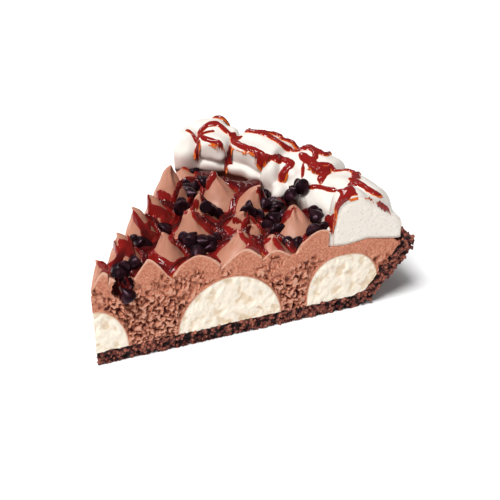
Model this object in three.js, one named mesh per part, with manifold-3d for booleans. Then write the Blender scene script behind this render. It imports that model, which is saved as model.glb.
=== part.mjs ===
// One slice of a chocolate sundae pie: a crumb crust, a chocolate mousse with three rings of vanilla
// mousse running through it, piped chocolate peaks with chips between them, and a ring of whipped
// cream along the rim, with chocolate sauce drizzled over both.
// Millimetres, +Z up. The slice's point lies towards -X and its rim towards +X.

import * as THREE from 'three';
import { mergeVertices } from 'three/addons/utils/BufferGeometryUtils.js';
import Module from 'manifold-3d';

const wasm = await Module();
wasm.setup();

// The pie and its cuts
const SLICE_ANGLE = 54;
const GAP = 0.3;
const ABOVE_ALL = 80;
const PIE_REACH = 160;
const PIE_SEGMENTS = 60;

// Crust: radius and height of its outer wall, from the table to the rim, then of its inner wall back down
const CRUST_FLOOR = 5.8;
const CRUST_COLOUR = 0x75473f;
const CRUST_OUTER = [[105, 0], [110, 1.1], [113, 4.4], [116, 8.8], [122.4, 15.4], [126.8, 21.8], [128.3, 25]];
const CRUST_RIM = [[126.8, 27.6], [124, 28.2], [121.6, 27.2]];
const CRUST_INNER = [
  [121, 25.3], [117.1, 19.3], [113.8, 16.3], [111.6, 11.4], [107.9, 7.4], [102, CRUST_FLOOR],
];
const CRUMB_COUNT = 22;
const CRUMB_SIZE = [1.3, 2.6];
const CRUMB_SUNK = { inward: 0.55, downward: 0.35 };
const CRUMB_FIRST_STOP = 2;
const CRUMB_SEED = 11;

// Mousse: its level under the peaks, and the trough that the whipped cream sits in
const MOUSSE_LEVEL = 31;
const CREAM_SEAT = [[92, MOUSSE_LEVEL], [98.6, 30], [107.8, 31.1], [119, 28.6], [121.6, 27.6]];
const CHIP_PIT = { along: 12, across: 1.2, height: 31.6, radius: 4.6, facets: [12, 8] };
const MOUSSE_COLOUR = 0xb97a62;

// Strokes left by the knife: how far apart they are along a cut, and how deep the deepest goes
const MOUSSE_STROKE = { pitch: 8, depth: 0.5, seed: 5 };
const CRUST_STROKE = { pitch: 8, depth: 0.8, seed: 8 };
const CLEAN_STROKE = { pitch: PIE_REACH, depth: 0, seed: 1 };

// Vanilla mousse: a mound in the middle of the pie and two rings round it
const VANILLA = {
  vanilla_mound_tip: { middle: 0, halfWidth: 12.5, top: 24, fullness: 2 },
  vanilla_mound_middle: { middle: 52, halfWidth: 20.5, top: 27, fullness: 1.9 },
  vanilla_mound_outer: { middle: 98.3, halfWidth: 15.2, top: 26.2, fullness: 2.5 },
};
const VANILLA_STEPS = 10;
const VANILLA_COLOUR = 0xf0e4d4;

// Piped peaks: the middle of each foot and its radius, and the tip that it was drawn out to
const PEAKS = [
  { foot: [5, 2], radius: 6.5, tip: [3.5, 2.2, 44.5] },
  { foot: [8.2, 0.4], radius: 3.4, tip: [7.4, 0.6, 37.4] },
  { foot: [16, 14.5], radius: 9, tip: [14.6, 15.5, 45.5] },
  { foot: [22, -2], radius: 8.4, tip: [20, -1.5, 44] },
  { foot: [31, 10.3], radius: 9.4, tip: [30.2, 10.8, 45] },
  { foot: [26, 28.5], radius: 9, tip: [24.2, 29.5, 46.5] },
  { foot: [39.5, -5.4], radius: 11, tip: [38.5, -5, 44] },
  { foot: [35.5, 36.8], radius: 8.8, tip: [32.8, 37.8, 45.5] },
  { foot: [45, 20], radius: 11.5, tip: [43.9, 20.8, 46.5] },
  { foot: [45, 50.4], radius: 9.6, tip: [45.2, 49.2, 50] },
  { foot: [52, 31.4], radius: 8, tip: [50.8, 31.5, 45.5] },
  { foot: [57.5, 4.2], radius: 10.5, tip: [57, 5, 43.5] },
  { foot: [63, 40.5], radius: 11.5, tip: [60.5, 44, 47] },
  { foot: [65.6, 9], radius: 6.5, tip: [64.5, 9.8, 41.5] },
  { foot: [64.4, 19.6], radius: 9.5, tip: [63.6, 17.5, 42.8] },
  { foot: [70, 3.5], radius: 7, tip: [70.5, 4, 39] },
  { foot: [72, 33], radius: 11, tip: [75.5, 30.5, 45] },
  { foot: [83, 10.5], radius: 10.5, tip: [82, 12, 45] },
  { foot: [88, -4.5], radius: 11, tip: [88, -4.5, 43] },
  { foot: [55.5, 65.5], radius: 7.5, tip: [54.6, 66.4, 37.4] },
];
const PEAK_BULGE = 1.4;
const PEAK_SEGMENTS = 9;
const PEAK_LEVELS = [0, 0.3, 0.6, 0.86];
const PEAK_FIELD = 91.4;
const PEAK_COLOUR = 0xc98b72;

// Chips: where each lies, how far its point tips over from upright, and which way, from the front cut
const CHIPS = [
  { along: 11.6, across: 4.4, height: 34, tilt: 70, heading: 250 },
  { along: 12.2, across: 0.8, height: 29.3, tilt: 30, heading: 160 },
  { along: 17.6, across: 8.2, height: 34.5, tilt: 110, heading: 200 },
  { along: 24, across: 23, height: 35, tilt: 75, heading: 120 },
  { along: 36.4, across: 29.5, height: 34.5, tilt: 80, heading: 30 },
  { along: 46.5, across: 40.5, height: 36.5, tilt: 95, heading: 80 },
  { along: 53.4, across: 48, height: 36.6, tilt: 60, heading: 300 },
  { along: 51.5, across: 56.5, height: 35, tilt: 50, heading: 170 },
  { along: 55.2, across: 31, height: 37.5, tilt: 40, heading: 250 },
  { along: 39.2, across: 15.6, height: 37.5, tilt: 50, heading: 215 },
  { along: 46.6, across: 12.6, height: 36.5, tilt: 55, heading: 290 },
  { along: 42, across: 7.6, height: 34, tilt: 80, heading: 240 },
  { along: 68.6, across: 26.4, height: 37.2, tilt: 100, heading: 75 },
  { along: 72.4, across: 18.6, height: 34, tilt: 45, heading: 200 },
  { along: 79.2, across: 22.6, height: 34.5, tilt: 65, heading: 20 },
  { along: 85, across: 22.4, height: 34, tilt: 70, heading: 330 },
  { along: 82.6, across: 31.8, height: 35, tilt: 60, heading: 90 },
  { along: 92.4, across: 31.6, height: 41, tilt: 60, heading: 200 },
  { along: 87.6, across: 27.2, height: 38.6, tilt: 70, heading: 260 },
  { along: 90.2, across: 13.4, height: 39, tilt: 45, heading: 130 },
  { along: 87.4, across: 4.8, height: 37.2, tilt: 98, heading: 70 },
  { along: 74.6, across: 11, height: 34.5, tilt: 60, heading: 240 },
  { along: 79, across: 3.8, height: 33, tilt: 80, heading: 190 },
  { along: 60.2, across: 70.6, height: 33.6, tilt: 60, heading: 200 },
  { along: 63.6, across: 60.2, height: 33.4, tilt: 75, heading: 10 },
];
const CHIP_RADII = [3, 3.6];
const CHIP_OUTLINE = [[0, 0], [0.9, 0], [1, 0.4], [0.5, 1.2], [0, 1.7]];
const CHIP_MIDDLE = 0.75;
const CHIP_SEGMENTS = 7;
const CHIP_SEED = 3;
const CHIP_COLOUR = 0x1d0d10;

// Whipped cream: its ring's section from the pie's middle outwards, and the mounds and rolls laid along it,
// from the front cut round to the back
const CREAM_SECTION = [
  [92, 35.5], [92.6, 38.6], [95, 41.4], [98.5, 43.4], [104, 44.6], [111, 44.6], [116.5, 42.6], [120.6, 38.6],
  [122.8, 32.4], [123.2, 28.8],
];
const CREAM_BED = [[0, MOUSSE_LEVEL], ...CREAM_SEAT.slice(0, -1), [122, 28.6], [PIE_REACH, 28.6]];
const CREAM_MOUNDS = [
  { turn: 4.5, radius: 105, reach: 12, breadth: 12.5, top: 52 },
  { turn: 8, radius: 114.5, reach: 8, breadth: 13, top: 45.5 },
  { turn: 17.5, radius: 107, reach: 13.5, breadth: 12, top: 53 },
  { turn: 26.5, radius: 111, reach: 10, breadth: 11, top: 47.5 },
  { turn: 34, radius: 107.5, reach: 14, breadth: 15.5, top: 50.6 },
  { turn: 48, radius: 106, reach: 14.5, breadth: 14.5, top: 50.2 },
];
const CREAM_ROLLS = [
  { turn: 12, radius: 96.5, reach: 5.5, breadth: 9, top: 43 },
  { turn: 21.5, radius: 95.5, reach: 5.6, breadth: 7, top: 44 },
  { turn: 34.5, radius: 96.5, reach: 5, breadth: 11, top: 41.5 },
  { turn: 47, radius: 96, reach: 5, breadth: 9, top: 42 },
];
const HEAP_CENTRE = 36;
const HEAP_FACETS = [10, 6];
const CREAM_COLOUR = 0xf6f1ea;

// Sauce: ribbons dragged over the peaks and then over the cream, as stops along and across the slice
const SAUCE_THICKNESS = 0.8;
const SAUCE_WIDTH = 2.8;
const SAUCE_END_WIDTH = 1.4;
const SAUCE_TRAILS = [
  [[5.5, 1], [10, 8], [15.5, 11], [15, 15]],
  [[12, 8], [19.5, 11.5], [25.5, 24.5], [24.5, 29]],
  [[29.5, 10.5], [23.5, 9], [25, 1.5], [33, 2]],
  [[27.5, 24], [34, 32.5], [40, 29]],
  [[33, 37.5], [34, 33]],
  [[38, 49.5], [42.3, 41]],
  [[49.5, 46], [40.5, 37.3]],
  [[45.5, 49], [53, 48.5], [61, 43.5]],
  [[60.6, 42.5], [56.2, 40.5], [47.5, 31]],
  [[61, 41], [70, 40.5], [74.5, 30.5]],
  [[50.6, 31], [60, 31.5], [62, 19]],
  [[43.8, 20.5], [38.5, 26], [31, 11]],
  [[44.4, 20], [48.8, 16], [56, 7]],
  [[46, 19.5], [54, 17], [57.5, 10]],
  [[30.5, 10], [37.4, 7.5], [47, 6.5], [56, 6.5]],
  [[64, 17.5], [62.5, 13], [59, 2.5], [64.5, 0.5]],
  [[82, 12], [74, 16]],
  [[81.6, 3], [87, 0.5]],
  [[64.5, 75.5], [69.5, 78], [74.5, 79], [81.5, 74]],
  [[83.5, 76.5], [78, 68.5], [80.3, 59.2], [88, 49.3], [90, 46]],
  [[76.8, 68.6], [71, 58.8]],
  [[86, 72], [91.5, 58.4], [96.8, 47.7]],
  [[88, 49.4], [96.5, 45], [90.4, 40.6], [85.5, 35.5]],
  [[97.5, 47.2], [103.5, 44], [106, 32]],
  [[97.4, 46], [98, 31], [103.7, 24.5]],
  [[93, 26], [101, 19], [113, 21]],
  [[108, 18], [102, 8.4], [97, 3.4]],
  [[113, 21], [114.6, 14], [116.8, 8]],
  [[92.4, 9.5], [92.8, 1]],
];

const slice = new THREE.Group();

function radians(degrees) {
  return degrees * Math.PI / 180;
}

// A seeded run of numbers between 0 and 1
function seededRandom(seed) {
  let state = seed * 7919 + 17;
  return () => {
    state = (state * 48271) % 2147483647;
    return state / 2147483647;
  };
}

// Turns a place measured from the front cut into the pie's own plan
function place(along, across) {
  return new THREE.Vector2(along, across).rotateAround(new THREE.Vector2(), radians(-SLICE_ANGLE / 2));
}

// The direction in plan of a heading measured from the front cut
function headingOf(degrees) {
  const angle = radians(degrees - SLICE_ANGLE / 2);
  return new THREE.Vector2(Math.cos(angle), Math.sin(angle));
}

function vectors(points) {
  return points.map(([radius, height]) => new THREE.Vector2(radius, height));
}

// Makes a closed geometry a solid that can be joined and cut
function toSolid(geometry) {
  const bare = geometry.clone();
  for (const attribute of ['normal', 'uv']) {
    bare.deleteAttribute(attribute);
  }
  const merged = mergeVertices(bare, 1e-4);
  const corners = merged.attributes.position.array;
  const triangles = [];
  const index = merged.index.array;
  for (let corner = 0; corner < index.length; corner += 3) {
    const [a, b, c] = index.slice(corner, corner + 3);
    if (a !== b && b !== c && c !== a) {
      triangles.push([a, b, c]);
    }
  }
  const make = (faces) => new wasm.Manifold(new wasm.Mesh({
    numProp: 3,
    vertProperties: new Float32Array(corners),
    triVerts: new Uint32Array(faces.flat()),
  }));
  const solid = make(triangles);
  return solid.volume() > 0 ? solid : make(triangles.map(([a, b, c]) => [a, c, b]));
}

// Turns a profile of radius and height round the pie's axis, as a solid
function turned(profile) {
  const geometry = new THREE.LatheGeometry(vectors([...profile, profile[0]]), PIE_SEGMENTS);
  geometry.rotateX(Math.PI / 2);
  return toSolid(geometry);
}

// Raises an outline in plan into an upright solid that stands on the table
function upright(outline) {
  const shape = new THREE.Shape(outline);
  return toSolid(new THREE.ExtrudeGeometry(shape, { depth: ABOVE_ALL, bevelEnabled: false }));
}

// Keeps a solid's largest body and drops the loose scraps of a cut
function largestBody(solid) {
  const bodies = solid.decompose();
  return bodies.reduce((best, body) => (body.volume() > best.volume() ? body : best));
}

// Adds a named piece to the slice, in its own colour
function addPiece(name, solid, color, roughness) {
  const { vertProperties, triVerts } = largestBody(solid).getMesh();
  const geometry = new THREE.BufferGeometry();
  geometry.setAttribute('position', new THREE.BufferAttribute(new Float32Array(vertProperties), 3));
  geometry.setIndex(new THREE.BufferAttribute(new Uint32Array(triVerts), 1));
  geometry.computeVertexNormals();
  const mesh = new THREE.Mesh(geometry, new THREE.MeshStandardMaterial({ color, roughness, metalness: 0 }));
  mesh.name = name;
  slice.add(mesh);
}

// The space between the two cuts, whose faces the strokes make uneven
function sliceSpace({ pitch, depth, seed }) {
  const random = seededRandom(seed);
  const steps = Math.round(PIE_REACH / pitch);
  const cutFace = (degrees, side) => {
    const along = headingOf(degrees);
    const inward = new THREE.Vector2(-along.y, along.x).multiplyScalar(side);
    const face = [];
    for (let step = 1; step <= steps; step++) {
      const point = along.clone().multiplyScalar(PIE_REACH * step / steps);
      face.push(point.addScaledVector(inward, depth * random()));
    }
    return face;
  };
  const front = cutFace(0, 1);
  const back = cutFace(SLICE_ANGLE, -1);
  return upright([new THREE.Vector2(0, 0), ...front, ...back.reverse()]);
}

// Crumbs of biscuit that stand proud of the crust's wall, rim and cut edges
function crumbs() {
  const random = seededRandom(CRUMB_SEED);
  const wall = [...CRUST_OUTER.slice(CRUMB_FIRST_STOP), ...CRUST_RIM];
  const lumps = [];
  for (let count = 0; count < CRUMB_COUNT; count++) {
    const size = THREE.MathUtils.lerp(...CRUMB_SIZE, random());
    const spot = random() * (wall.length - 1);
    const stop = Math.floor(spot);
    const wallPoint = vectors([wall[stop], wall[stop + 1]]);
    const { x: radius, y: height } = wallPoint[0].lerp(wallPoint[1], spot - stop);
    const way = headingOf(random() * SLICE_ANGLE).multiplyScalar(radius - size * CRUMB_SUNK.inward);
    const lump = new THREE.IcosahedronGeometry(size, 0);
    lump.rotateX(random() * Math.PI);
    lump.rotateZ(random() * Math.PI);
    lump.translate(way.x, way.y, height - size * CRUMB_SUNK.downward);
    lumps.push(toSolid(lump));
  }
  return wasm.Manifold.union(lumps);
}

// The hollow that the crust holds, drawn in by a clearance
function fillingProfile(clearance) {
  const wall = CRUST_INNER.map(([radius, height]) => [radius - clearance, height + clearance]);
  const seat = CREAM_SEAT.map(([radius, height]) => [radius - clearance, height - clearance]);
  return [[0, CRUST_FLOOR + clearance], ...wall.reverse(), ...seat.reverse(), [0, MOUSSE_LEVEL - clearance]];
}

// The crust: a baked shell of crumbs, with loose-looking crumbs on it, cut out of the whole pie
function buildCrust() {
  const shell = turned([[0, 0], ...CRUST_OUTER, ...CRUST_RIM, ...CRUST_INNER, [0, CRUST_FLOOR]]);
  const hollow = turned(fillingProfile(0));
  const whole = shell.add(crumbs().subtract(hollow).subtract(creamSolid(GAP)));
  return whole.intersect(sliceSpace(CRUST_STROKE));
}

// A mound of vanilla mousse: a rounded hump turned about the pie's axis
function vanillaSolid({ middle, halfWidth, top, fullness }, swell) {
  const reach = halfWidth + swell;
  const rise = top + swell - CRUST_FLOOR;
  const hump = [];
  for (let step = 0; step <= VANILLA_STEPS; step++) {
    const swing = Math.PI * step / VANILLA_STEPS;
    const side = Math.cos(swing);
    const across = Math.sign(side) * Math.abs(side) ** (2 / fullness);
    hump.push([middle + reach * across, CRUST_FLOOR + rise * Math.sin(swing) ** (2 / fullness)]);
  }
  if (middle > 0) {
    return turned([[middle - reach, 0], [middle + reach, 0], ...hump]);
  }
  return turned([[0, 0], [reach, 0], ...hump.slice(0, VANILLA_STEPS / 2), [0, CRUST_FLOOR + rise]]);
}

// A chip: a small drop of chocolate, laid at its place and tipped over
function chipSolid(chip, order, swell) {
  const random = seededRandom(CHIP_SEED + order);
  const radius = THREE.MathUtils.lerp(...CHIP_RADII, random()) + swell;
  const outline = vectors(CHIP_OUTLINE).map((point) => point.multiplyScalar(radius));
  const geometry = new THREE.LatheGeometry(outline, CHIP_SEGMENTS);
  geometry.rotateX(Math.PI / 2);
  geometry.translate(0, 0, -CHIP_MIDDLE * radius);
  geometry.rotateY(radians(chip.tilt));
  geometry.rotateZ(radians(chip.heading - SLICE_ANGLE / 2));
  const spot = place(chip.along, chip.across);
  geometry.translate(spot.x, spot.y, chip.height);
  return toSolid(geometry);
}

// A piped peak: a round foot that narrows to a point, bending over to its tip as it rises
function peakSolid({ foot, radius, tip: [along, across, height] }, swell) {
  const rise = height + swell - MOUSSE_LEVEL;
  const rings = PEAK_LEVELS.map((level) => [
    (radius + swell) * Math.cos(level * Math.PI / 2) ** PEAK_BULGE,
    rise * level,
  ]);
  const geometry = new THREE.LatheGeometry(vectors([[0, 0], ...rings, [0, rise]]), PEAK_SEGMENTS);
  geometry.rotateX(Math.PI / 2);
  const spot = place(...foot);
  const lean = place(along, across).sub(spot);
  const position = geometry.attributes.position;
  for (let corner = 0; corner < position.count; corner++) {
    const bend = (position.getZ(corner) / rise) ** 2;
    position.setX(corner, position.getX(corner) + spot.x + lean.x * bend);
    position.setY(corner, position.getY(corner) + spot.y + lean.y * bend);
    position.setZ(corner, position.getZ(corner) + MOUSSE_LEVEL);
  }
  return toSolid(geometry);
}

// Clips an outline to the side of a line where the distance along a direction stays under a limit
function clipOutline(outline, direction, limit) {
  const kept = [];
  outline.forEach((point, order) => {
    const next = outline[(order + 1) % outline.length];
    const here = point.dot(direction) - limit;
    const there = next.dot(direction) - limit;
    if (here <= 0) {
      kept.push(point);
    }
    if (here * there < 0) {
      kept.push(point.clone().lerp(next, here / (here - there)));
    }
  });
  return kept;
}

// The room a peak has before it meets its neighbours: the wider of two peaks takes more of the way between
function peakRoom(peak) {
  const spot = place(...peak.foot);
  const reach = 2 * peak.radius;
  const corners = [[-reach, -reach], [reach, -reach], [reach, reach], [-reach, reach]];
  let outline = vectors(corners).map((corner) => corner.add(spot));
  for (const other of PEAKS.filter((candidate) => candidate !== peak)) {
    const away = place(...other.foot).sub(spot);
    const share = away.length() * peak.radius / (peak.radius + other.radius);
    away.normalize();
    outline = clipOutline(outline, away, spot.dot(away) + share - GAP / 2);
  }
  return upright(outline);
}

// A rounded heap of cream, laid round the ring
function heap({ turn, radius, reach, breadth, top }, swell) {
  const geometry = new THREE.SphereGeometry(1, ...HEAP_FACETS);
  geometry.rotateX(Math.PI / 2);
  geometry.scale(reach + swell, breadth + swell, top + swell - HEAP_CENTRE);
  geometry.rotateZ(radians(turn - SLICE_ANGLE / 2));
  const way = headingOf(turn).multiplyScalar(radius);
  geometry.translate(way.x, way.y, HEAP_CENTRE);
  return toSolid(geometry);
}

// The whole cream: its ring, mounds and inner rolls, cut clear of the mousse and the crust below
function creamSolid(swell) {
  const middle = (CREAM_SECTION[0][0] + CREAM_SECTION.at(-1)[0]) / 2;
  const section = CREAM_SECTION.map(([radius, height]) => [
    radius + Math.sign(radius - middle) * swell,
    height + swell,
  ]);
  const [inner, outer] = [section[0][0], section.at(-1)[0]];
  const ring = turned([[inner, 0], ...section, [outer, 0]]);
  const heaps = [...CREAM_MOUNDS, ...CREAM_ROLLS].map((one) => heap(one, swell));
  const bed = CREAM_BED.map(([radius, height]) => [radius, height - swell]);
  const below = turned([[0, 0], ...bed, [PIE_REACH, 0]]);
  return wasm.Manifold.union([ring, ...heaps]).subtract(below);
}

// The upright wall over a trail of sauce, as wide as the ribbon and narrower at its two ends
function sauceWall(trail) {
  const stops = trail.map(([along, across]) => place(along, across));
  const last = stops.length - 1;
  const edge = (side) => stops.map((stop, order) => {
    const way = stops[Math.min(order + 1, last)].clone().sub(stops[Math.max(order - 1, 0)]).normalize();
    const half = side * (order === 0 || order === last ? SAUCE_END_WIDTH : SAUCE_WIDTH) / 2;
    return new THREE.Vector2(stop.x - way.y * half, stop.y + way.x * half);
  });
  return upright([...edge(-1), ...edge(1).reverse()]);
}

// A node's name with its number, counted from one
function numbered(kind, order) {
  return `${kind}_${String(order + 1).padStart(2, '0')}`;
}

const cuts = sliceSpace(CLEAN_STROKE);
const sauce = wasm.Manifold.union(SAUCE_TRAILS.map(sauceWall));
const chipRooms = wasm.Manifold.union(CHIPS.map((chip, order) => chipSolid(chip, order, GAP * 1.5)));
const vanillaRooms = wasm.Manifold.union(Object.values(VANILLA).map((mound) => vanillaSolid(mound, GAP)));
const filling = turned(fillingProfile(GAP));

addPiece('crust', buildCrust(), CRUST_COLOUR, 0.9);

const pit = new THREE.SphereGeometry(CHIP_PIT.radius, ...CHIP_PIT.facets);
const pitSpot = place(CHIP_PIT.along, CHIP_PIT.across);
pit.translate(pitSpot.x, pitSpot.y, CHIP_PIT.height);
const mousse = filling.subtract(vanillaRooms).subtract(toSolid(pit)).subtract(chipRooms);
addPiece('mousse', mousse.intersect(sliceSpace(MOUSSE_STROKE)), MOUSSE_COLOUR, 0.75);

for (const [name, mound] of Object.entries(VANILLA)) {
  addPiece(name, vanillaSolid(mound, 0).intersect(filling).intersect(cuts), VANILLA_COLOUR, 0.7);
}

const peakField = turned([[0, 0], [PEAK_FIELD, 0], [PEAK_FIELD, ABOVE_ALL], [0, ABOVE_ALL]]);
const peakSpace = peakField.intersect(cuts).subtract(chipRooms).subtract(creamSolid(GAP));
PEAKS.forEach((peak, order) => {
  const coated = peakSolid(peak, 0).add(peakSolid(peak, SAUCE_THICKNESS).intersect(sauce));
  addPiece(numbered('peak', order), coated.intersect(peakRoom(peak)).intersect(peakSpace), PEAK_COLOUR, 0.5);
});

const creamSauce = creamSolid(SAUCE_THICKNESS).intersect(sauce).subtract(filling);
const cream = creamSolid(0).add(creamSauce).intersect(cuts).subtract(chipRooms);
addPiece('whipped_cream', cream, CREAM_COLOUR, 0.6);

CHIPS.forEach((chip, order) => {
  addPiece(numbered('chip', order), chipSolid(chip, order, 0), CHIP_COLOUR, 0.25);
});

// The origin goes to the middle of the slice's footprint, on the table
const bounds = new THREE.Box3().setFromObject(slice);
const middle = bounds.getCenter(new THREE.Vector3());
slice.position.set(-middle.x, -middle.y, -bounds.min.z);

export default slice;
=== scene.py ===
"""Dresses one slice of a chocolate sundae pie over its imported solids.

The slice has a crumb crust, torn chocolate mousse with vanilla mousse running through it, piped peaks with
chocolate chips between them, a ring of whipped cream, and glossy sauce drizzled over the top.

Shapes are worked out in millimetres about the pie's own upright axis, with +X along the middle of the slice,
and are moved into the frame, in metres, when a piece is made.
"""
from __future__ import annotations

import logging
import math
from dataclasses import dataclass, field
from enum import Enum

import bpy
import numpy as np
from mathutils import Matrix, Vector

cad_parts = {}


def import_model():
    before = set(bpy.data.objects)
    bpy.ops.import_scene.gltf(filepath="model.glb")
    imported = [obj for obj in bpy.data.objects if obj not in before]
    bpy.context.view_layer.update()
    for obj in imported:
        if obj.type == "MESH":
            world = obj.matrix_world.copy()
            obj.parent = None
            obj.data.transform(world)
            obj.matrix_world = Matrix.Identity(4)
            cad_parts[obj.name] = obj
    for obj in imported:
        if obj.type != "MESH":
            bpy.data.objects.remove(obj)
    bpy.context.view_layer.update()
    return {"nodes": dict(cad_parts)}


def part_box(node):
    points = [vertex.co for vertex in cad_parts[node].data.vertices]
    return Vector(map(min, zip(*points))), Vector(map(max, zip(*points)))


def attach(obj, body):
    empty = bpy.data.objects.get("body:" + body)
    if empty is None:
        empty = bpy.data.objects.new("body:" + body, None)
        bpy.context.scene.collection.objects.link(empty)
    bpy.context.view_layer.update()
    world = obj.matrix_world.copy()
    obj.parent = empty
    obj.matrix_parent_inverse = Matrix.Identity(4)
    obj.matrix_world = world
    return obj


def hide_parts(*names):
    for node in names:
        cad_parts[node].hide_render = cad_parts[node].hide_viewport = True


Array = np.ndarray
Pair = tuple[float, float]
LOG = logging.getLogger("pie")

MM = 0.001  # one millimetre in the frame's metres
WELD_PARTS = 1000  # corners that agree to one part of a millimetre in this many become one
CUT_SLACK = 0.002  # mm from a cut within which a corner lies on it
NOISE_GAIN = 1.7  # brings soft noise to about -1 to 1
HALF_ANGLE = math.radians(27)  # half of the slice's angle at its tip

# Odd whole numbers that scramble a lattice cell's place, its seed, and the bits between shifts
PLACE_FACTORS = (73856093, 19349663, 83492791)
SEED_FACTOR = 2654435761
BIT_FACTORS = (1274126177, 2246822519)

# Each cut's way out from the axis, and its way into the slice
FRONT_WAY = np.array([math.cos(HALF_ANGLE), -math.sin(HALF_ANGLE)])
FRONT_INWARD = np.array([math.sin(HALF_ANGLE), math.cos(HALF_ANGLE)])
BACK_WAY = np.array([math.cos(HALF_ANGLE), math.sin(HALF_ANGLE)])
BACK_INWARD = np.array([math.sin(HALF_ANGLE), -math.cos(HALF_ANGLE)])

# Heights in mm, and outlines as radius and height from the axis out to the rim
MOUSSE_LEVEL = 31.0
CRUST_FLOOR = 5.8
CRUST_OUTER = [
    (0, 0), (105, 0), (110, 1.1), (113, 4.4), (116, 8.8), (122.4, 15.4), (126.8, 21.8), (128.3, 25),
    (127.2, 27.4), (124.4, 28.3),
]
CRUST_INNER = [
    (0, CRUST_FLOOR), (102, CRUST_FLOOR), (107.9, 7.4), (111.6, 11.4), (113.8, 16.3), (117.1, 19.3),
    (121, 25.3), (122, 27.2), (124.4, 28.3),
]
MOUSSE_TOP = [(0, MOUSSE_LEVEL), (92, MOUSSE_LEVEL), (98.6, 30), (107.8, 31.1), (119, 28.6), (121.4, 26.6)]


class Slot(Enum):
    """The record's material slots."""

    CRUST = "crumb_crust"
    MOUSSE = "chocolate_mousse"
    VANILLA = "vanilla_mousse"
    PEAK = "chocolate_peak"
    CREAM = "whipped_cream"
    CHIP = "chocolate_chip"
    SAUCE = "chocolate_sauce"


def smooth_step(value: Array, low: float, high: float) -> Array:
    """A soft switch: 0 below low, 1 above high, and an S-shaped rise between them."""
    part = np.clip((value - low) / (high - low), 0, 1)
    return part * part * (3 - 2 * part)


def place(along: Array, across: Array) -> Array:
    """Turns places measured along the front cut, and across from it, into the pie's own plan."""
    return np.asarray(along)[..., None] * FRONT_WAY + np.asarray(across)[..., None] * FRONT_INWARD


def cut_distances(points: Array) -> tuple[Array, Array]:
    """How far points lie inside the front cut and inside the back cut.

    Args:
        points: Places, with x and y first in the last axis.

    Returns:
        The two signed distances, positive inside the slice.
    """
    return points[..., :2] @ FRONT_INWARD, points[..., :2] @ BACK_INWARD


def lattice_bits(cells: Array, seed: int) -> Array:
    """Scrambles whole-number cells into 32 even random bits each, the same each time.

    Args:
        cells: Whole numbers, three in the last axis.
        seed: Picks another run of numbers.

    Returns:
        One unsigned number for each cell.
    """
    mixed = np.uint32((seed * SEED_FACTOR) % 2**32)
    for axis, factor in enumerate(PLACE_FACTORS):
        mixed = mixed ^ (cells[..., axis].astype(np.int64).astype(np.uint32) * np.uint32(factor))
    for shift, factor in zip((13, 15), BIT_FACTORS):
        mixed = (mixed ^ (mixed >> np.uint32(shift))) * np.uint32(factor)
    return mixed ^ (mixed >> np.uint32(16))


def lattice(cells: Array, seed: int) -> Array:
    """Even random numbers from 0 to 1, one for each whole-number cell."""
    return lattice_bits(cells, seed) / 2.0**32


def soft_noise(points: Array, size: float, seed: int, octaves: int = 1) -> Array:
    """Smooth noise of about -1 to 1: random slopes on a lattice, blended by S-shaped weights.

    Args:
        points: Places in mm.
        size: Width of the largest lump, in mm.
        seed: Picks another pattern.
        octaves: How many finer patterns are added, each half as wide and half as strong.

    Returns:
        The noise at each point.
    """
    total = np.zeros(points.shape[:-1])
    for octave in range(octaves):
        spot = points / (size / 2**octave)
        corner = np.floor(spot)
        part = spot - corner
        weight = part * part * part * (part * (part * 6 - 15) + 10)
        for step in np.ndindex(2, 2, 2):
            high = np.array(step)
            share = np.prod(np.where(high == 1, weight, 1 - weight), axis=-1)
            bits = lattice_bits(corner + high, seed + octave)
            tilt = sum((((bits >> np.uint32(10 * axis)) & np.uint32(1023)) / 511.5 - 1)
                       * (part[..., axis] - high[axis]) for axis in range(3))
            total += NOISE_GAIN * share * tilt / 2**octave
    return total


def noise_ways(points: Array, size: float, seed: int, octaves: int = 1, axes: int = 3) -> Array:
    """Soft noise of its own for each axis, which bends the space that a pattern is laid in.

    Args:
        points: Places in mm.
        size: Width of the largest lump, in mm.
        seed: Picks another pattern.
        octaves: How many finer patterns are added.
        axes: How many axes are bent.

    Returns:
        A step of about -1 to 1 along each axis, at each point.
    """
    return np.stack([soft_noise(points, size, seed + axis, octaves) for axis in range(axes)], axis=-1)


def scattered_cells(points: Array, size: Array | float, seed: int) -> tuple[Array, Array, Array]:
    """Distances to points scattered one to a cell, which gives grains and pits.

    Args:
        points: Places in mm.
        size: Width of a cell in mm, or its three widths.
        seed: Picks another scatter.

    Returns:
        The distance to the nearest point and to the second nearest, in cells, and the nearest one's number.
    """
    spot = points / size
    corner = np.floor(spot)
    nearest = np.full(points.shape[:-1], 9.0)
    second = np.full(points.shape[:-1], 9.0)
    tint = np.zeros(points.shape[:-1])
    for step in np.ndindex(3, 3, 3):
        cell = corner + np.array(step) - 1
        jitter = np.stack([lattice(cell, seed + axis) for axis in range(3)], axis=-1)
        distance = np.linalg.norm(cell + jitter - spot, axis=-1)
        closer = distance < nearest
        second = np.where(closer, nearest, np.minimum(second, distance))
        tint = np.where(closer, lattice(cell, seed + 3), tint)
        nearest = np.where(closer, distance, nearest)
    return nearest, second, tint


def resample(outline: list[Pair], count: int) -> Array:
    """Points spaced evenly along a broken line.

    Args:
        outline: The line's corners.
        count: How many points to give.

    Returns:
        The points, with the line's two ends among them.
    """
    corners = np.array(outline, float)
    reach = np.concatenate([[0], np.cumsum(np.linalg.norm(np.diff(corners, axis=0), axis=1))])
    wanted = np.linspace(0, reach[-1], count)
    return np.stack([np.interp(wanted, reach, corners[:, axis]) for axis in range(2)], axis=-1)


@dataclass
class Patch:
    """A grid of points, rows by columns, and whether its faces are turned over.

    Unturned, a face looks the way of the step along a row crossed with the step along a column.
    """

    grid: Array
    turned: bool = False


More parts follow.
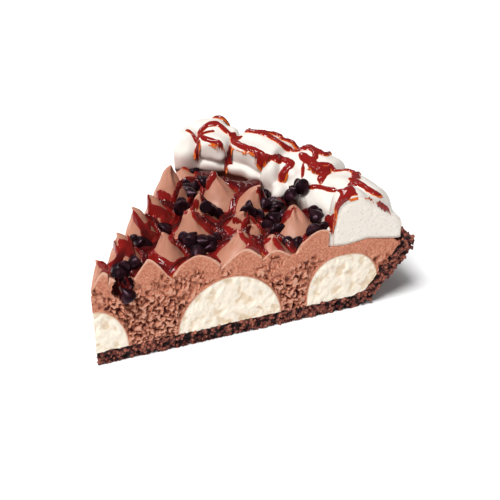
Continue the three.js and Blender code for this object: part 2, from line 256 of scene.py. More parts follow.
@dataclass
class Shell:
    """A closed skin of triangles in mm, with named values at its corners."""

    points: Array
    faces: Array
    values: dict[str, Array] = field(default_factory=dict)

    @classmethod
    def closed(cls, patches: list[Patch]) -> Shell:
        """Joins grids edge to edge into one skin.

        Each grid cell gives two triangles, corners within a thousandth of a millimetre become one, and
        triangles that shrink to nothing go.

        Args:
            patches: Grids whose borders meet.

        Returns:
            The joined skin, with its faces outwards.
        """
        points, faces, base = [], [], 0
        for patch in patches:
            rows, columns = patch.grid.shape[:2]
            flat = patch.grid.reshape(-1, 3)
            index = np.arange(rows * columns).reshape(rows, columns)
            a, b, c, d = index[:-1, :-1], index[:-1, 1:], index[1:, 1:], index[1:, :-1]
            triangles = np.concatenate([
                np.stack(three, axis=-1).reshape(-1, 3) for three in ((a, b, c), (a, c, d))])
            if patch.turned:
                triangles = triangles[:, ::-1]
            points.append(flat)
            faces.append(triangles + base)
            base += len(flat)
        return cls.welded(np.concatenate(points), np.concatenate(faces))

    @classmethod
    def welded(cls, points: Array, faces: Array) -> Shell:
        """Merges corners that meet, drops empty triangles and turns the skin outwards.

        A corner's three rounded places, none below nought and 20 bits each, make up one number to sort by.

        Args:
            points: Corners in mm.
            faces: Triangles, by the corners' numbers.

        Returns:
            The skin, in which each corner stands once.
        """
        x, y, z = (np.round(points * WELD_PARTS).astype(np.int64) + 2**18).T
        _, first, inverse = np.unique((x << 40) | (y << 20) | z, return_index=True, return_inverse=True)
        faces = inverse.reshape(-1)[faces]
        whole = (faces[:, 0] != faces[:, 1]) & (faces[:, 1] != faces[:, 2]) & (faces[:, 2] != faces[:, 0])
        shell = cls(points[first], faces[whole])
        shell.turn_outwards()
        return shell

    def turn_outwards(self) -> None:
        """Turns every face over if the skin's volume is below nought, as when they look inwards."""
        a, b, c = (self.points[self.faces[:, corner]] for corner in range(3))
        if np.einsum("ij,ij->i", a, np.cross(b, c)).sum() < 0:
            self.faces = self.faces[:, ::-1]

    @staticmethod
    def face_normals(points: Array, faces: Array) -> Array:
        """Normals of the triangles, as long as twice their areas."""
        a, b, c = (points[faces[:, corner]] for corner in range(3))
        return np.cross(b - a, c - a)

    def normals(self) -> Array:
        """Works out unit normals at the corners, averaged from the triangles round them by area.

        Returns:
            One outward way for each corner.
        """
        across = self.face_normals(self.points, self.faces)
        total = np.zeros_like(self.points)
        for corner in range(3):
            for axis in range(3):
                total[:, axis] += np.bincount(self.faces[:, corner], across[:, axis], len(self.points))
        return total / np.maximum(np.linalg.norm(total, axis=1, keepdims=True), 1e-12)

    def push(self, amount: Array) -> None:
        """Moves each corner outwards along its normal by an amount in mm."""
        self.points = self.points + self.normals() * amount[:, None]

    def on_cuts(self) -> Array:
        """True for the corners that lie on the front or the back cut."""
        return np.abs(cut_distances(self.points)).min(axis=0) < CUT_SLACK

    def keep_off_table(self, level: float = 0.0) -> None:
        """Lifts what relief has pushed below a level back up to it."""
        self.points[:, 2] = np.maximum(self.points[:, 2], level)

    def piece(self, name: str, finish: bpy.types.Material, slot: Slot, nodes: list[str],
              crease: float = 60) -> bpy.types.Object:
        """Makes the Blender object, with smooth faces but creases where the skin turns sharply.

        Args:
            name: The piece's name.
            finish: Its material.
            slot: The record's slot that it stands for; it is not used.
            nodes: Solids that it replaces.
            crease: Turn in degrees past which an edge stays sharp.

        Returns:
            The new object, riding on the frame.
        """
        mesh = bpy.data.meshes.new(name)
        mesh.vertices.add(len(self.points))
        mesh.vertices.foreach_set("co", ((self.points * MM) + PIE_AXIS.offset).ravel())
        mesh.loops.add(self.faces.size)
        mesh.loops.foreach_set("vertex_index", self.faces.ravel().astype(np.int32))
        mesh.polygons.add(len(self.faces))
        mesh.polygons.foreach_set("loop_start", np.arange(0, self.faces.size, 3, dtype=np.int32))
        mesh.update(calc_edges=True)
        mesh.validate()
        mesh.polygons.foreach_set("use_smooth", np.ones(len(mesh.polygons), bool))
        mesh.set_sharp_from_angle(angle=math.radians(crease))
        for key, value in self.values.items():
            layer = mesh.attributes.new(key, "FLOAT", "POINT")
            layer.data.foreach_set("value", value.astype(np.float32))
        mesh.materials.append(finish)
        thing = bpy.data.objects.new(name, mesh)
        bpy.context.scene.collection.objects.link(thing)
        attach(thing, "root")
        if nodes:
            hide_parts(*nodes)
        LOG.info("%s: %d triangles", name, len(self.faces))
        return thing


@dataclass
class Axis:
    """Where the pie's upright axis stands in the frame, in metres."""

    offset: Array = field(default_factory=lambda: np.zeros(3))

    def read(self, crust: bpy.types.Object) -> None:
        """Finds the axis at the crust's point, which is its corner furthest towards -X.

        Args:
            crust: The crust's solid.
        """
        corners = np.empty(len(crust.data.vertices) * 3)
        crust.data.vertices.foreach_get("co", corners)
        corners = corners.reshape(-1, 3)
        self.offset = np.array([*corners[corners[:, 0].argmin()][:2], 0.0])


PIE_AXIS = Axis()


def polar(radius: Array | float, turn: Array, *height: Array) -> Array:
    """Places at a radius and a turn about the pie's axis, and at a height where one is given."""
    return np.stack(np.broadcast_arrays(radius * np.cos(turn), radius * np.sin(turn), *height), axis=-1)


def revolve(profile: Array, angles: Array) -> Array:
    """Carries a profile of radius and height round the pie's axis.

    Args:
        profile: Radius and height in the last axis.
        angles: Turns in radians from the middle of the slice.

    Returns:
        A grid of points, one row for each angle.
    """
    turn = np.asarray(angles).reshape((-1,) + (1,) * (profile.ndim - 1))
    return polar(profile[..., 0], turn, profile[..., 1])


def sweep(outer: Array, inner: Array, rows: int, steps: int) -> list[Patch]:
    """Carries a cut section from the front cut to the back cut.

    The section lies between an outer and an inner line; both cuts are grids between the two lines.

    Args:
        outer: The lower and outer line, as radius and height.
        inner: The upper and inner line, with as many points.
        rows: Points from the outer line to the inner line.
        steps: Points from the front cut to the back cut.

    Returns:
        The patches of the closed body.
    """
    weight = np.linspace(0, 1, rows)[:, None, None]
    section = outer * (1 - weight) + inner * weight
    angles = np.linspace(-HALF_ANGLE, HALF_ANGLE, steps)
    patches = [
        Patch(revolve(section, angles[:1])[0]),
        Patch(revolve(section, angles[-1:])[0], turned=True),
        Patch(revolve(outer, angles), turned=True),
        Patch(revolve(inner, angles)),
    ]
    for column, turned in ((0, False), (-1, True)):
        if np.abs(section[0, column] - section[-1, column]).max() > 1e-6:
            patches.append(Patch(revolve(section[:, column], angles), turned))
    return patches


def linear(hex_colour: str) -> tuple[float, float, float, float]:
    """Turns an sRGB hex colour into the linear light that a shader takes."""
    parts = (int(hex_colour[start:start + 2], 16) / 255 for start in (1, 3, 5))
    return (*(part / 12.92 if part <= 0.04045 else ((part + 0.055) / 1.055) ** 2.4 for part in parts), 1.0)


def add_node(tree: bpy.types.NodeTree, kind: str, settings: dict | None = None,
             inputs: dict | None = None) -> bpy.types.Node:
    """Adds one node, sets its options, and fills or links its inputs.

    Args:
        tree: The material's tree.
        kind: The node's type, without the word ShaderNode that each begins with.
        settings: Option names and their values.
        inputs: Input names or numbers, each with a value or another node's output.

    Returns:
        The new node.
    """
    node = tree.nodes.new("ShaderNode" + kind)
    for key, value in (settings or {}).items():
        setattr(node, key, value)
    for key, value in (inputs or {}).items():
        if isinstance(value, bpy.types.NodeSocket):
            tree.links.new(value, node.inputs[key])
        else:
            node.inputs[key].default_value = value
    return node


def start_material(name: str) -> tuple[bpy.types.Material, bpy.types.NodeTree, bpy.types.NodeSocket]:
    """Makes an empty material.

    Args:
        name: What the finish is.

    Returns:
        The material, its tree, and the place of a point on the object.
    """
    material = bpy.data.materials.new(name)
    material.use_nodes = True
    tree = material.node_tree
    tree.nodes.clear()
    return material, tree, add_node(tree, "TexCoord").outputs["Object"]


def per_metre(size_mm: float) -> float:
    """The scale of a noise or cell pattern whose lumps are a given number of millimetres wide."""
    return 1000 / size_mm


RGB_MIX = {"data_type": "RGBA"}


@dataclass(frozen=True)
class BakedCrumb:
    """Crushed chocolate biscuit, pressed with fat and baked: matt dark grains, some paler with a painted
    highlight on raised lumps, and painted shade near black in the gaps.
    """

    grain: str = "#5C1F1B"
    # paler grains at random, and a painted highlight on the raised lumps
    pale_grain_and_highlight: str = "#A05C49"
    # painted shade: near black in the gaps and the low lumps between grains
    gap_shade: str = "#1E0507"
    grit: float = 0.7  # mm, fine biscuit meal drawn as coarse as it needs to show
    grit_height: float = 0.25  # mm
    roughness: float = 0.72  # dry crumb, with a little fat on it
    ior: float = 1.45  # cocoa fat

    def material(self) -> bpy.types.Material:
        """Builds the material from the relief's own values: painted shade in the gaps, and a tint for paler
        grains and a painted highlight.

        Returns:
            The material.
        """
        material, tree, spot = start_material("baked_biscuit_crumb")
        gap_shade, tint = (
            add_node(tree, "Attribute", {"attribute_name": key}).outputs["Fac"] for key in ("gap_shade", "tint"))
        grit = add_node(tree, "TexNoise", inputs={
            "Vector": spot, "Scale": per_metre(self.grit), "Detail": 3.0}).outputs["Fac"]
        pale = add_node(tree, "Math", {"operation": "MULTIPLY"}, {0: tint, 1: grit})
        pale = add_node(tree, "MapRange", inputs={
            "Value": pale.outputs[0], "From Min": 0.18, "From Max": 0.48})
        deep = add_node(tree, "MapRange", inputs={"Value": gap_shade, "From Min": 0.2, "From Max": 0.85})
        # The pale colour is paler grains at random with a painted highlight on raised lumps; the gap colour
        # is painted shade.
        colour = linear(self.grain)
        for share, over in ((pale, self.pale_grain_and_highlight), (deep, self.gap_shade)):
            colour = add_node(tree, "Mix", RGB_MIX, {
                0: share.outputs[0], 6: colour, 7: linear(over)}).outputs[2]
        bump = add_node(tree, "Bump", inputs={
            "Strength": 0.5, "Distance": self.grit_height * MM, "Height": grit})
        shader = add_node(tree, "BsdfPrincipled", inputs={
            "Base Color": colour, "Roughness": self.roughness, "IOR": self.ior, "Normal": bump.outputs[0]})
        add_node(tree, "OutputMaterial", inputs={"Surface": shader.outputs[0]})
        return material


@dataclass(frozen=True)
class AeratedMousse:
    """Whipped chocolate mousse: a satin skin where it was piped, and a torn, pitted face where it is cut."""

    skin: str = "#B47F69"
    cut: str = "#B26448"
    # painted highlight: the lighter cut colour goes on the raised bubble grain
    cut_highlight: str = "#E4A283"
    # painted shade in the torn face's pits and in the chip hollow
    pit: str = "#561412"
    # the peaks' pale skin, and a painted highlight on the torn face's crests
    rim: str = "#DDAC94"
    bubble: float = 0.8  # mm, small bubbles drawn as coarse as they need to show
    bubble_height: float = 0.3  # mm
    mottle: float = 6.0  # mm, soft patches in the piped skin
    skin_roughness: float = 0.42  # fat-rich skin, satin
    cut_roughness: float = 0.66  # open foam
    ior: float = 1.45  # cocoa fat
    glow: float = 0.12
    glow_reach: float = 1.5  # mm that light travels in the foam

    def material(self) -> bpy.types.Material:
        """Builds the material from the cut, pit and skin values of the mesh, which carry painted shade in the
        pits, and the peaks' pale skin with a painted highlight on the torn crests.

        Returns:
            The material.
        """
        material, tree, spot = start_material("aerated_chocolate_mousse")
        cut, pit, rim = (
            add_node(tree, "Attribute", {"attribute_name": key}).outputs["Fac"]
            for key in ("cut", "pit", "skin"))
        grain, broad = (
            add_node(tree, "TexNoise", inputs={
                "Vector": spot, "Scale": per_metre(size), "Detail": detail}).outputs["Fac"]
            for size, detail in ((self.bubble, 4.0), (self.mottle, 2.0)))
        lit = add_node(tree, "MapRange", inputs={
            "Value": grain, "From Min": 0.36, "From Max": 0.82}).outputs[0]
        soft = add_node(tree, "MapRange", inputs={
            "Value": broad, "From Min": 0.3, "From Max": 0.8, "To Max": 0.35}).outputs[0]
        rough = add_node(tree, "MapRange", inputs={
            "Value": cut, "To Min": self.skin_roughness, "To Max": self.cut_roughness})
        face = linear(self.cut)
        # The lighter cut colour is a painted highlight on the raised bubble grain, the pit colour is painted
        # shade in the pits and the chip hollow, and the rim colour is the peaks' pale skin and a painted
        # highlight on the torn crests.
        for share, over in ((lit, self.cut_highlight), (rim, self.rim), (pit, self.pit)):
            face = add_node(tree, "Mix", RGB_MIX, {0: share, 6: face, 7: linear(over)}).outputs[2]
        skin = add_node(tree, "Mix", RGB_MIX, {0: soft, 6: linear(self.skin), 7: linear(self.cut)}).outputs[2]
        colour = add_node(tree, "Mix", RGB_MIX, {0: cut, 6: skin, 7: face}).outputs[2]
        height = add_node(tree, "Math", {"operation": "MULTIPLY"}, {0: grain, 1: cut})
        bump = add_node(tree, "Bump", inputs={
            "Strength": 0.5, "Distance": self.bubble_height * MM, "Height": height.outputs[0]})
        shader = add_node(tree, "BsdfPrincipled", inputs={
            "Base Color": colour, "Roughness": rough.outputs[0], "IOR": self.ior, "Normal": bump.outputs[0],
            "Subsurface Weight": self.glow, "Subsurface Radius": (1.0, 0.5, 0.35),
            "Subsurface Scale": self.glow_reach * MM})
        add_node(tree, "OutputMaterial", inputs={"Surface": shader.outputs[0]})
        return material


@dataclass(frozen=True)
class VanillaMousse:
    """Set vanilla mousse: off-white, matt, with painted shade that turns its soft dimples beige."""

    body: str = "#F3E8D7"
    # painted shade in the hollows of the cut relief
    dimple_shade: str = "#E4CFB3"
    border: str = "#D8A888"
    bubble: float = 1.2  # mm, small bubbles drawn as coarse as they need to show
    bubble_height: float = 0.3  # mm
    roughness: float = 0.6  # set cream, matt
    ior: float = 1.45  # milk fat
    glow: float = 0.2
    glow_reach: float = 1.5  # mm that light travels in the foam

    def material(self) -> bpy.types.Material:
        """Builds the material from the mesh's values of painted shade in the hollows and of the border.

        Returns:
            The material.
        """
        material, tree, spot = start_material("set_vanilla_mousse")
        colour = linear(self.body)
        for key, over in (("dimple_shade", self.dimple_shade), ("border", self.border)):
            share = add_node(tree, "Attribute", {"attribute_name": key}).outputs["Fac"]
            colour = add_node(tree, "Mix", RGB_MIX, {0: share, 6: colour, 7: linear(over)}).outputs[2]
        grain = add_node(tree, "TexNoise", inputs={
            "Vector": spot, "Scale": per_metre(self.bubble), "Detail": 4.0})
        bump = add_node(tree, "Bump", inputs={
            "Strength": 0.35, "Distance": self.bubble_height * MM, "Height": grain.outputs["Fac"]})
        shader = add_node(tree, "BsdfPrincipled", inputs={
            "Base Color": colour, "Roughness": self.roughness, "IOR": self.ior, "Normal": bump.outputs[0],
            "Subsurface Weight": self.glow, "Subsurface Radius": (1.0, 0.8, 0.6),
            "Subsurface Scale": self.glow_reach * MM})
        add_node(tree, "OutputMaterial", inputs={"Surface": shader.outputs[0]})
        return material


@dataclass(frozen=True)
class DairyFoam:
    """Whipped cream: white foam, smooth and satin where it was spooned, finely pitted where it is cut."""

    body: str = "#E1DAD2"
    # painted light: the cut face is lighter than the spooned skin of the same foam
    face: str = "#EDE5DB"
    # painted shade in the cut face's pores
    pit: str = "#D9CBBD"
    # painted shade on overhanging and low faces
    fold_shade: str = "#C3A29A"
    # painted shade along the inner foot, under the hanging roll
    foot_shade: str = "#4A120F"
    pore: float = 1.6  # mm from one larger bubble to the next
    bubble: float = 0.9  # mm, small bubbles drawn as coarse as they need to show
    bubble_height: float = 0.25  # mm
    roughness: float = 0.5  # fatty foam, satin
    ior: float = 1.4  # milk
    glow: float = 0.15
    glow_reach: float = 2.0  # mm that light travels in the foam

    def material(self) -> bpy.types.Material:
        """Builds the material from the cut values of the mesh, and from its values of painted shade on
        overhanging faces and at the inner foot.

        Returns:
            The material.
        """
        material, tree, spot = start_material("whipped_dairy_foam")
        cut, fold_shade, foot_shade = (
            add_node(tree, "Attribute", {"attribute_name": key}).outputs["Fac"]
            for key in ("cut", "fold_shade", "foot_shade"))
        pores = add_node(tree, "TexVoronoi", inputs={"Vector": spot, "Scale": per_metre(self.pore)})
        grain = add_node(tree, "TexNoise", inputs={
            "Vector": spot, "Scale": per_metre(self.bubble), "Detail": 4.0}).outputs["Fac"]
        pore = add_node(tree, "MapRange", inputs={
            "Value": pores.outputs["Distance"], "From Min": 0.26, "From Max": 0.1}).outputs[0]
        shown = add_node(tree, "Math", {"operation": "MULTIPLY"}, {0: pore, 1: cut}).outputs[0]
        colour = linear(self.body)
        # The face colour is painted lighter, and the pore, overhang and foot colours are painted shade.
        for share, over in ((cut, self.face), (shown, self.pit), (fold_shade, self.fold_shade), (foot_shade, self.foot_shade)):
            colour = add_node(tree, "Mix", RGB_MIX, {0: share, 6: colour, 7: linear(over)}).outputs[2]
        height = add_node(tree, "Math", {"operation": "MULTIPLY_ADD"}, {0: cut, 1: grain, 2: grain})
        bump = add_node(tree, "Bump", inputs={
            "Strength": 0.2, "Distance": self.bubble_height * MM, "Height": height.outputs[0]})
        shader = add_node(tree, "BsdfPrincipled", inputs={
            "Base Color": colour, "Roughness": self.roughness, "IOR": self.ior, "Normal": bump.outputs[0],
            "Subsurface Weight": self.glow, "Subsurface Radius": (1.0, 0.9, 0.8),
            "Subsurface Scale": self.glow_reach * MM})
        add_node(tree, "OutputMaterial", inputs={"Surface": shader.outputs[0]})
        return material


@dataclass(frozen=True)
class DarkChocolate:
    """Moulded dark chocolate chips: near black, polished, with faint purple patches that are bloom and a
    painted sheen.
    """

    body: str = "#11050A"
    # purple bloom, and a painted sheen
    bloom_and_sheen: str = "#48242E"
    sheen: str = "#D9A9C0"
    bloom_and_sheen_size: float = 3.0  # mm, patches of bloom and painted sheen
    rub: float = 0.6  # mm, marks rubbed by other chips
    rub_height: float = 0.2  # mm
    roughness: float = 0.3  # tempered chocolate, rubbed dull in the bag
    ior: float = 1.5  # cocoa butter
    specular: float = 0.34  # less than a clean face gives, for the dust on it

    def material(self) -> bpy.types.Material:
        """Builds the material, with bloom and a painted sheen in soft patches.

        Returns:
            The material.
        """
        material, tree, spot = start_material("tempered_dark_chocolate")
        patches, fine = (
            add_node(tree, "TexNoise", inputs={
                "Vector": spot, "Scale": per_metre(size), "Detail": detail}).outputs["Fac"]
            for size, detail in ((self.bloom_and_sheen_size, 3.0), (self.rub, 2.0)))
        amount = add_node(tree, "MapRange", inputs={
            "Value": patches, "From Min": 0.5, "From Max": 0.75, "To Max": 0.5})
        colour = add_node(tree, "Mix", RGB_MIX, {
            0: amount.outputs[0], 6: linear(self.body), 7: linear(self.bloom_and_sheen)}).outputs[2]
        bump = add_node(tree, "Bump", inputs={
            "Strength": 0.15, "Distance": self.rub_height * MM, "Height": fine})
        shader = add_node(tree, "BsdfPrincipled", inputs={
            "Base Color": colour, "Roughness": self.roughness, "IOR": self.ior, "Normal": bump.outputs[0],
            "Specular IOR Level": self.specular, "Specular Tint": linear(self.sheen)})
        add_node(tree, "OutputMaterial", inputs={"Surface": shader.outputs[0]})
        return material


@dataclass(frozen=True)
class PouredSauce:
    """Chocolate syrup: wet and glossy, dark red where it is thick, orange where it runs thin."""

    thick: str = "#48090B"
    middle: str = "#821714"
    thin: str = "#CF6222"
    ripple: float = 4.0  # mm
    ripple_height: float = 0.4  # mm
    roughness: float = 0.09  # wet syrup
    ior: float = 1.49  # sugar syrup
    specular: float = 0.32  # less than clear syrup gives, for the cocoa in it
    coat: float = 0.06
    coat_roughness: float = 0.03

    def material(self) -> bpy.types.Material:
        """Builds the material from the sauce's own thickness, which also carries painted shade round the
        fallen chips.

        Returns:
            The material.
        """
        material, tree, spot = start_material("poured_chocolate_syrup")
        depth = add_node(tree, "Attribute", {"attribute_name": "depth"}).outputs["Fac"]
        ripple = add_node(tree, "TexNoise", inputs={
            "Vector": spot, "Scale": per_metre(self.ripple), "Detail": 2.0})
        body, edge = (
            add_node(tree, "MapRange", inputs={
                "Value": depth, "From Min": least, "From Max": most}).outputs[0]
            for least, most in ((1.0, 3.6), (0.1, 0.28)))
        colour = add_node(tree, "Mix", RGB_MIX, {
            0: body, 6: linear(self.middle), 7: linear(self.thick)}).outputs[2]
        colour = add_node(tree, "Mix", RGB_MIX, {0: edge, 6: linear(self.thin), 7: colour}).outputs[2]
        bump = add_node(tree, "Bump", inputs={
            "Strength": 0.08, "Distance": self.ripple_height * MM, "Height": ripple.outputs["Fac"]})
        shader = add_node(tree, "BsdfPrincipled", inputs={
            "Base Color": colour, "Roughness": self.roughness, "IOR": self.ior, "Normal": bump.outputs[0],
            "Specular IOR Level": self.specular, "Coat Weight": self.coat,
            "Coat Roughness": self.coat_roughness})
        add_node(tree, "OutputMaterial", inputs={"Surface": shader.outputs[0]})
        return material


@dataclass(frozen=True)
class PaintedFloor:
    """A plain white studio floor, matt."""

    body: str = "#FFFFFF"
    cloud: float = 80.0  # mm
    specular: float = 0.1  # matt paint

    def material(self) -> bpy.types.Material:
        """Builds the material, with a faint unevenness in its gloss.

        Returns:
            The material.
        """
        material, tree, spot = start_material("matt_studio_floor")
        cloud = add_node(tree, "TexNoise", inputs={"Vector": spot, "Scale": per_metre(self.cloud)})
        rough = add_node(tree, "MapRange", inputs={
            "Value": cloud.outputs["Fac"], "To Min": 0.8, "To Max": 0.95})
        shader = add_node(tree, "BsdfPrincipled", inputs={
            "Base Color": linear(self.body), "Roughness": rough.outputs[0],
            "Specular IOR Level": self.specular})
        add_node(tree, "OutputMaterial", inputs={"Surface": shader.outputs[0]})
        return material


@dataclass(frozen=True)
class TornFace:
    """The face that a knife tears in mousse: smooth near the top, and open pits further down."""

    fine_level: float = 31.5
    tip_rise: float = 5.5
    rim_drop: float = 5.0
    patch: float = 6.0
    patch_size: float = 9.0
    bend: float = 0.9
    bend_size: float = 2.6
    torn_below: Pair = (0.0, 8.0)
    tumbled_below: Pair = (6.0, 14.0)
    tumbled_gain: float = 1.25
    upright: tuple[float, float, float] = (1.0, 0.5, 1.0)
    pit_size: float = 1.35
    pit_depth: float = 1.8
    hole_depth: float = 0.6
    grain: float = 0.07
    grain_size: float = 0.7
    sunk: float = 0.45
    back_seam: float = 60.0  # mm that sets the back cut's pattern apart from the front's
    seed: int = 40

    def relief(self, points: Array) -> tuple[Array, Array, Array]:
        """Works out the torn face at places on a cut.

        The face is bent noise: upright lumps below the fine level, which turn to tumbled lumps with
        small round holes further down. Only fine grain lies above them.

        Args:
            points: Places in mm.

        Returns:
            How deep the face lies inside the cut, in mm, and how much of a pit and of a crest it is.
        """
        front, _ = cut_distances(points)
        side = np.where(np.abs(front) < 1.0, 0.0, self.back_seam)
        radius = np.linalg.norm(points[:, :2], axis=1)
        flat = np.stack([radius, points[:, 2], side], axis=-1)
        bent = flat.copy()
        bent[:, :2] += self.bend * noise_ways(flat, self.bend_size, self.seed, 2, axes=2)
        patchy = self.patch * soft_noise(flat, self.patch_size, self.seed + 5, 2)
        level = (self.fine_level + self.tip_rise * smooth_step(-radius, -46, -20)
                 - self.rim_drop * smooth_step(radius, 84, 98))
        below = level - points[:, 2] + patchy
        coarse = smooth_step(below, *self.torn_below)
        deep = smooth_step(below, *self.tumbled_below)
        upright = soft_noise(bent * np.array(self.upright), self.pit_size, self.seed + 9, 2)
        tumbled = soft_noise(bent, self.pit_size * 1.1, self.seed + 13, 3)
        lumps = upright * (1 - deep) + self.tumbled_gain * tumbled * deep
        nearest, _, tint = scattered_cells(bent, self.pit_size * 0.9, self.seed + 19)
        hole = smooth_step(-nearest, -0.5, -0.1) * smooth_step(tint, 0.45, 0.7) * deep
        grain = soft_noise(flat, self.grain_size, self.seed + 33, 2)
        height = coarse * (self.pit_depth * lumps - self.hole_depth * hole) + self.grain * grain
        pit = coarse * np.clip(smooth_step(-lumps, 0.0, 0.45) * (0.5 + 0.5 * deep) + 0.8 * hole, 0, 1)
        crest = coarse * smooth_step(lumps, 0.1, 0.5)
        return np.clip(self.sunk * coarse - height, -0.05, None), pit, crest


@dataclass(frozen=True)
class ChipHollow:
    """The hollow in the front cut where chips fell between two peaks."""

    along: float = 12.0
    across: float = 1.2
    height: float = 31.6
    radius: float = 4.6
    raggedness: float = 0.7
    ragged_size: float = 2.2

    def carve(self, shell: Shell) -> Array:
        """Presses a shell back to the far side of a ball with a ragged edge.

        Args:
            shell: What the chips fell on.

        Returns:
            How far each corner went, in mm.
        """
        front, _ = cut_distances(shell.points)
        along = shell.points[:, :2] @ FRONT_WAY - self.along
        ragged = self.raggedness * soft_noise(shell.points, self.ragged_size, 141, 2)
        room = (self.radius + ragged) ** 2 - along**2 - (shell.points[:, 2] - self.height) ** 2
        back = np.where(room > 0, self.across + np.sqrt(np.clip(room, 0, None)), -1)
        step = np.clip(back - front, 0, None)
        shell.points[:, :2] += step[:, None] * FRONT_INWARD
        return step


@dataclass(frozen=True)
class Mound:
    """One mound of vanilla mousse, as a hump across the pie's radius."""

    name: str
    middle: float
    half_width: float
    top: float
    fullness: float

    def height(self, radius: Array) -> Array:
        """The hump's height at a radius: a superellipse standing on the crust's floor."""
        side = np.clip(np.abs(radius - self.middle) / self.half_width, 0, 1)
        return CRUST_FLOOR + (self.top - CRUST_FLOOR) * (1 - side**self.fullness) ** (1 / self.fullness)

    def depth_inside(self, points: Array) -> Array:
        """Roughly how far places on a cut lie inside the hump's outline.

        Args:
            points: Places in mm.

        Returns:
            The depth in mm, negative outside.
        """
        radius = np.linalg.norm(points[:, :2], axis=1)
        side = np.abs(radius - self.middle) / self.half_width
        rise = np.clip(points[:, 2] - CRUST_FLOOR, 0, None) / (self.top - CRUST_FLOOR)
        swell = (side**self.fullness + rise**self.fullness) ** (1 / self.fullness)
        return (1 - swell) * min(self.half_width, self.top - CRUST_FLOOR)

    def columns(self, spacing: float) -> Array:
        """Radii across the hump, spaced by a cosine, so closer together near its steep sides."""
        swing = np.linspace(0, math.pi, int(2 * self.half_width / spacing))
        return self.middle - self.half_width * np.cos(swing)


MOUNDS = (
    Mound("vanilla_mound_tip", 0, 12.5, 24, 2.0),
    Mound("vanilla_mound_middle", 52, 20.5, 27, 1.9),
    Mound("vanilla_mound_outer", 98.3, 15.2, 26.2, 2.5),
)


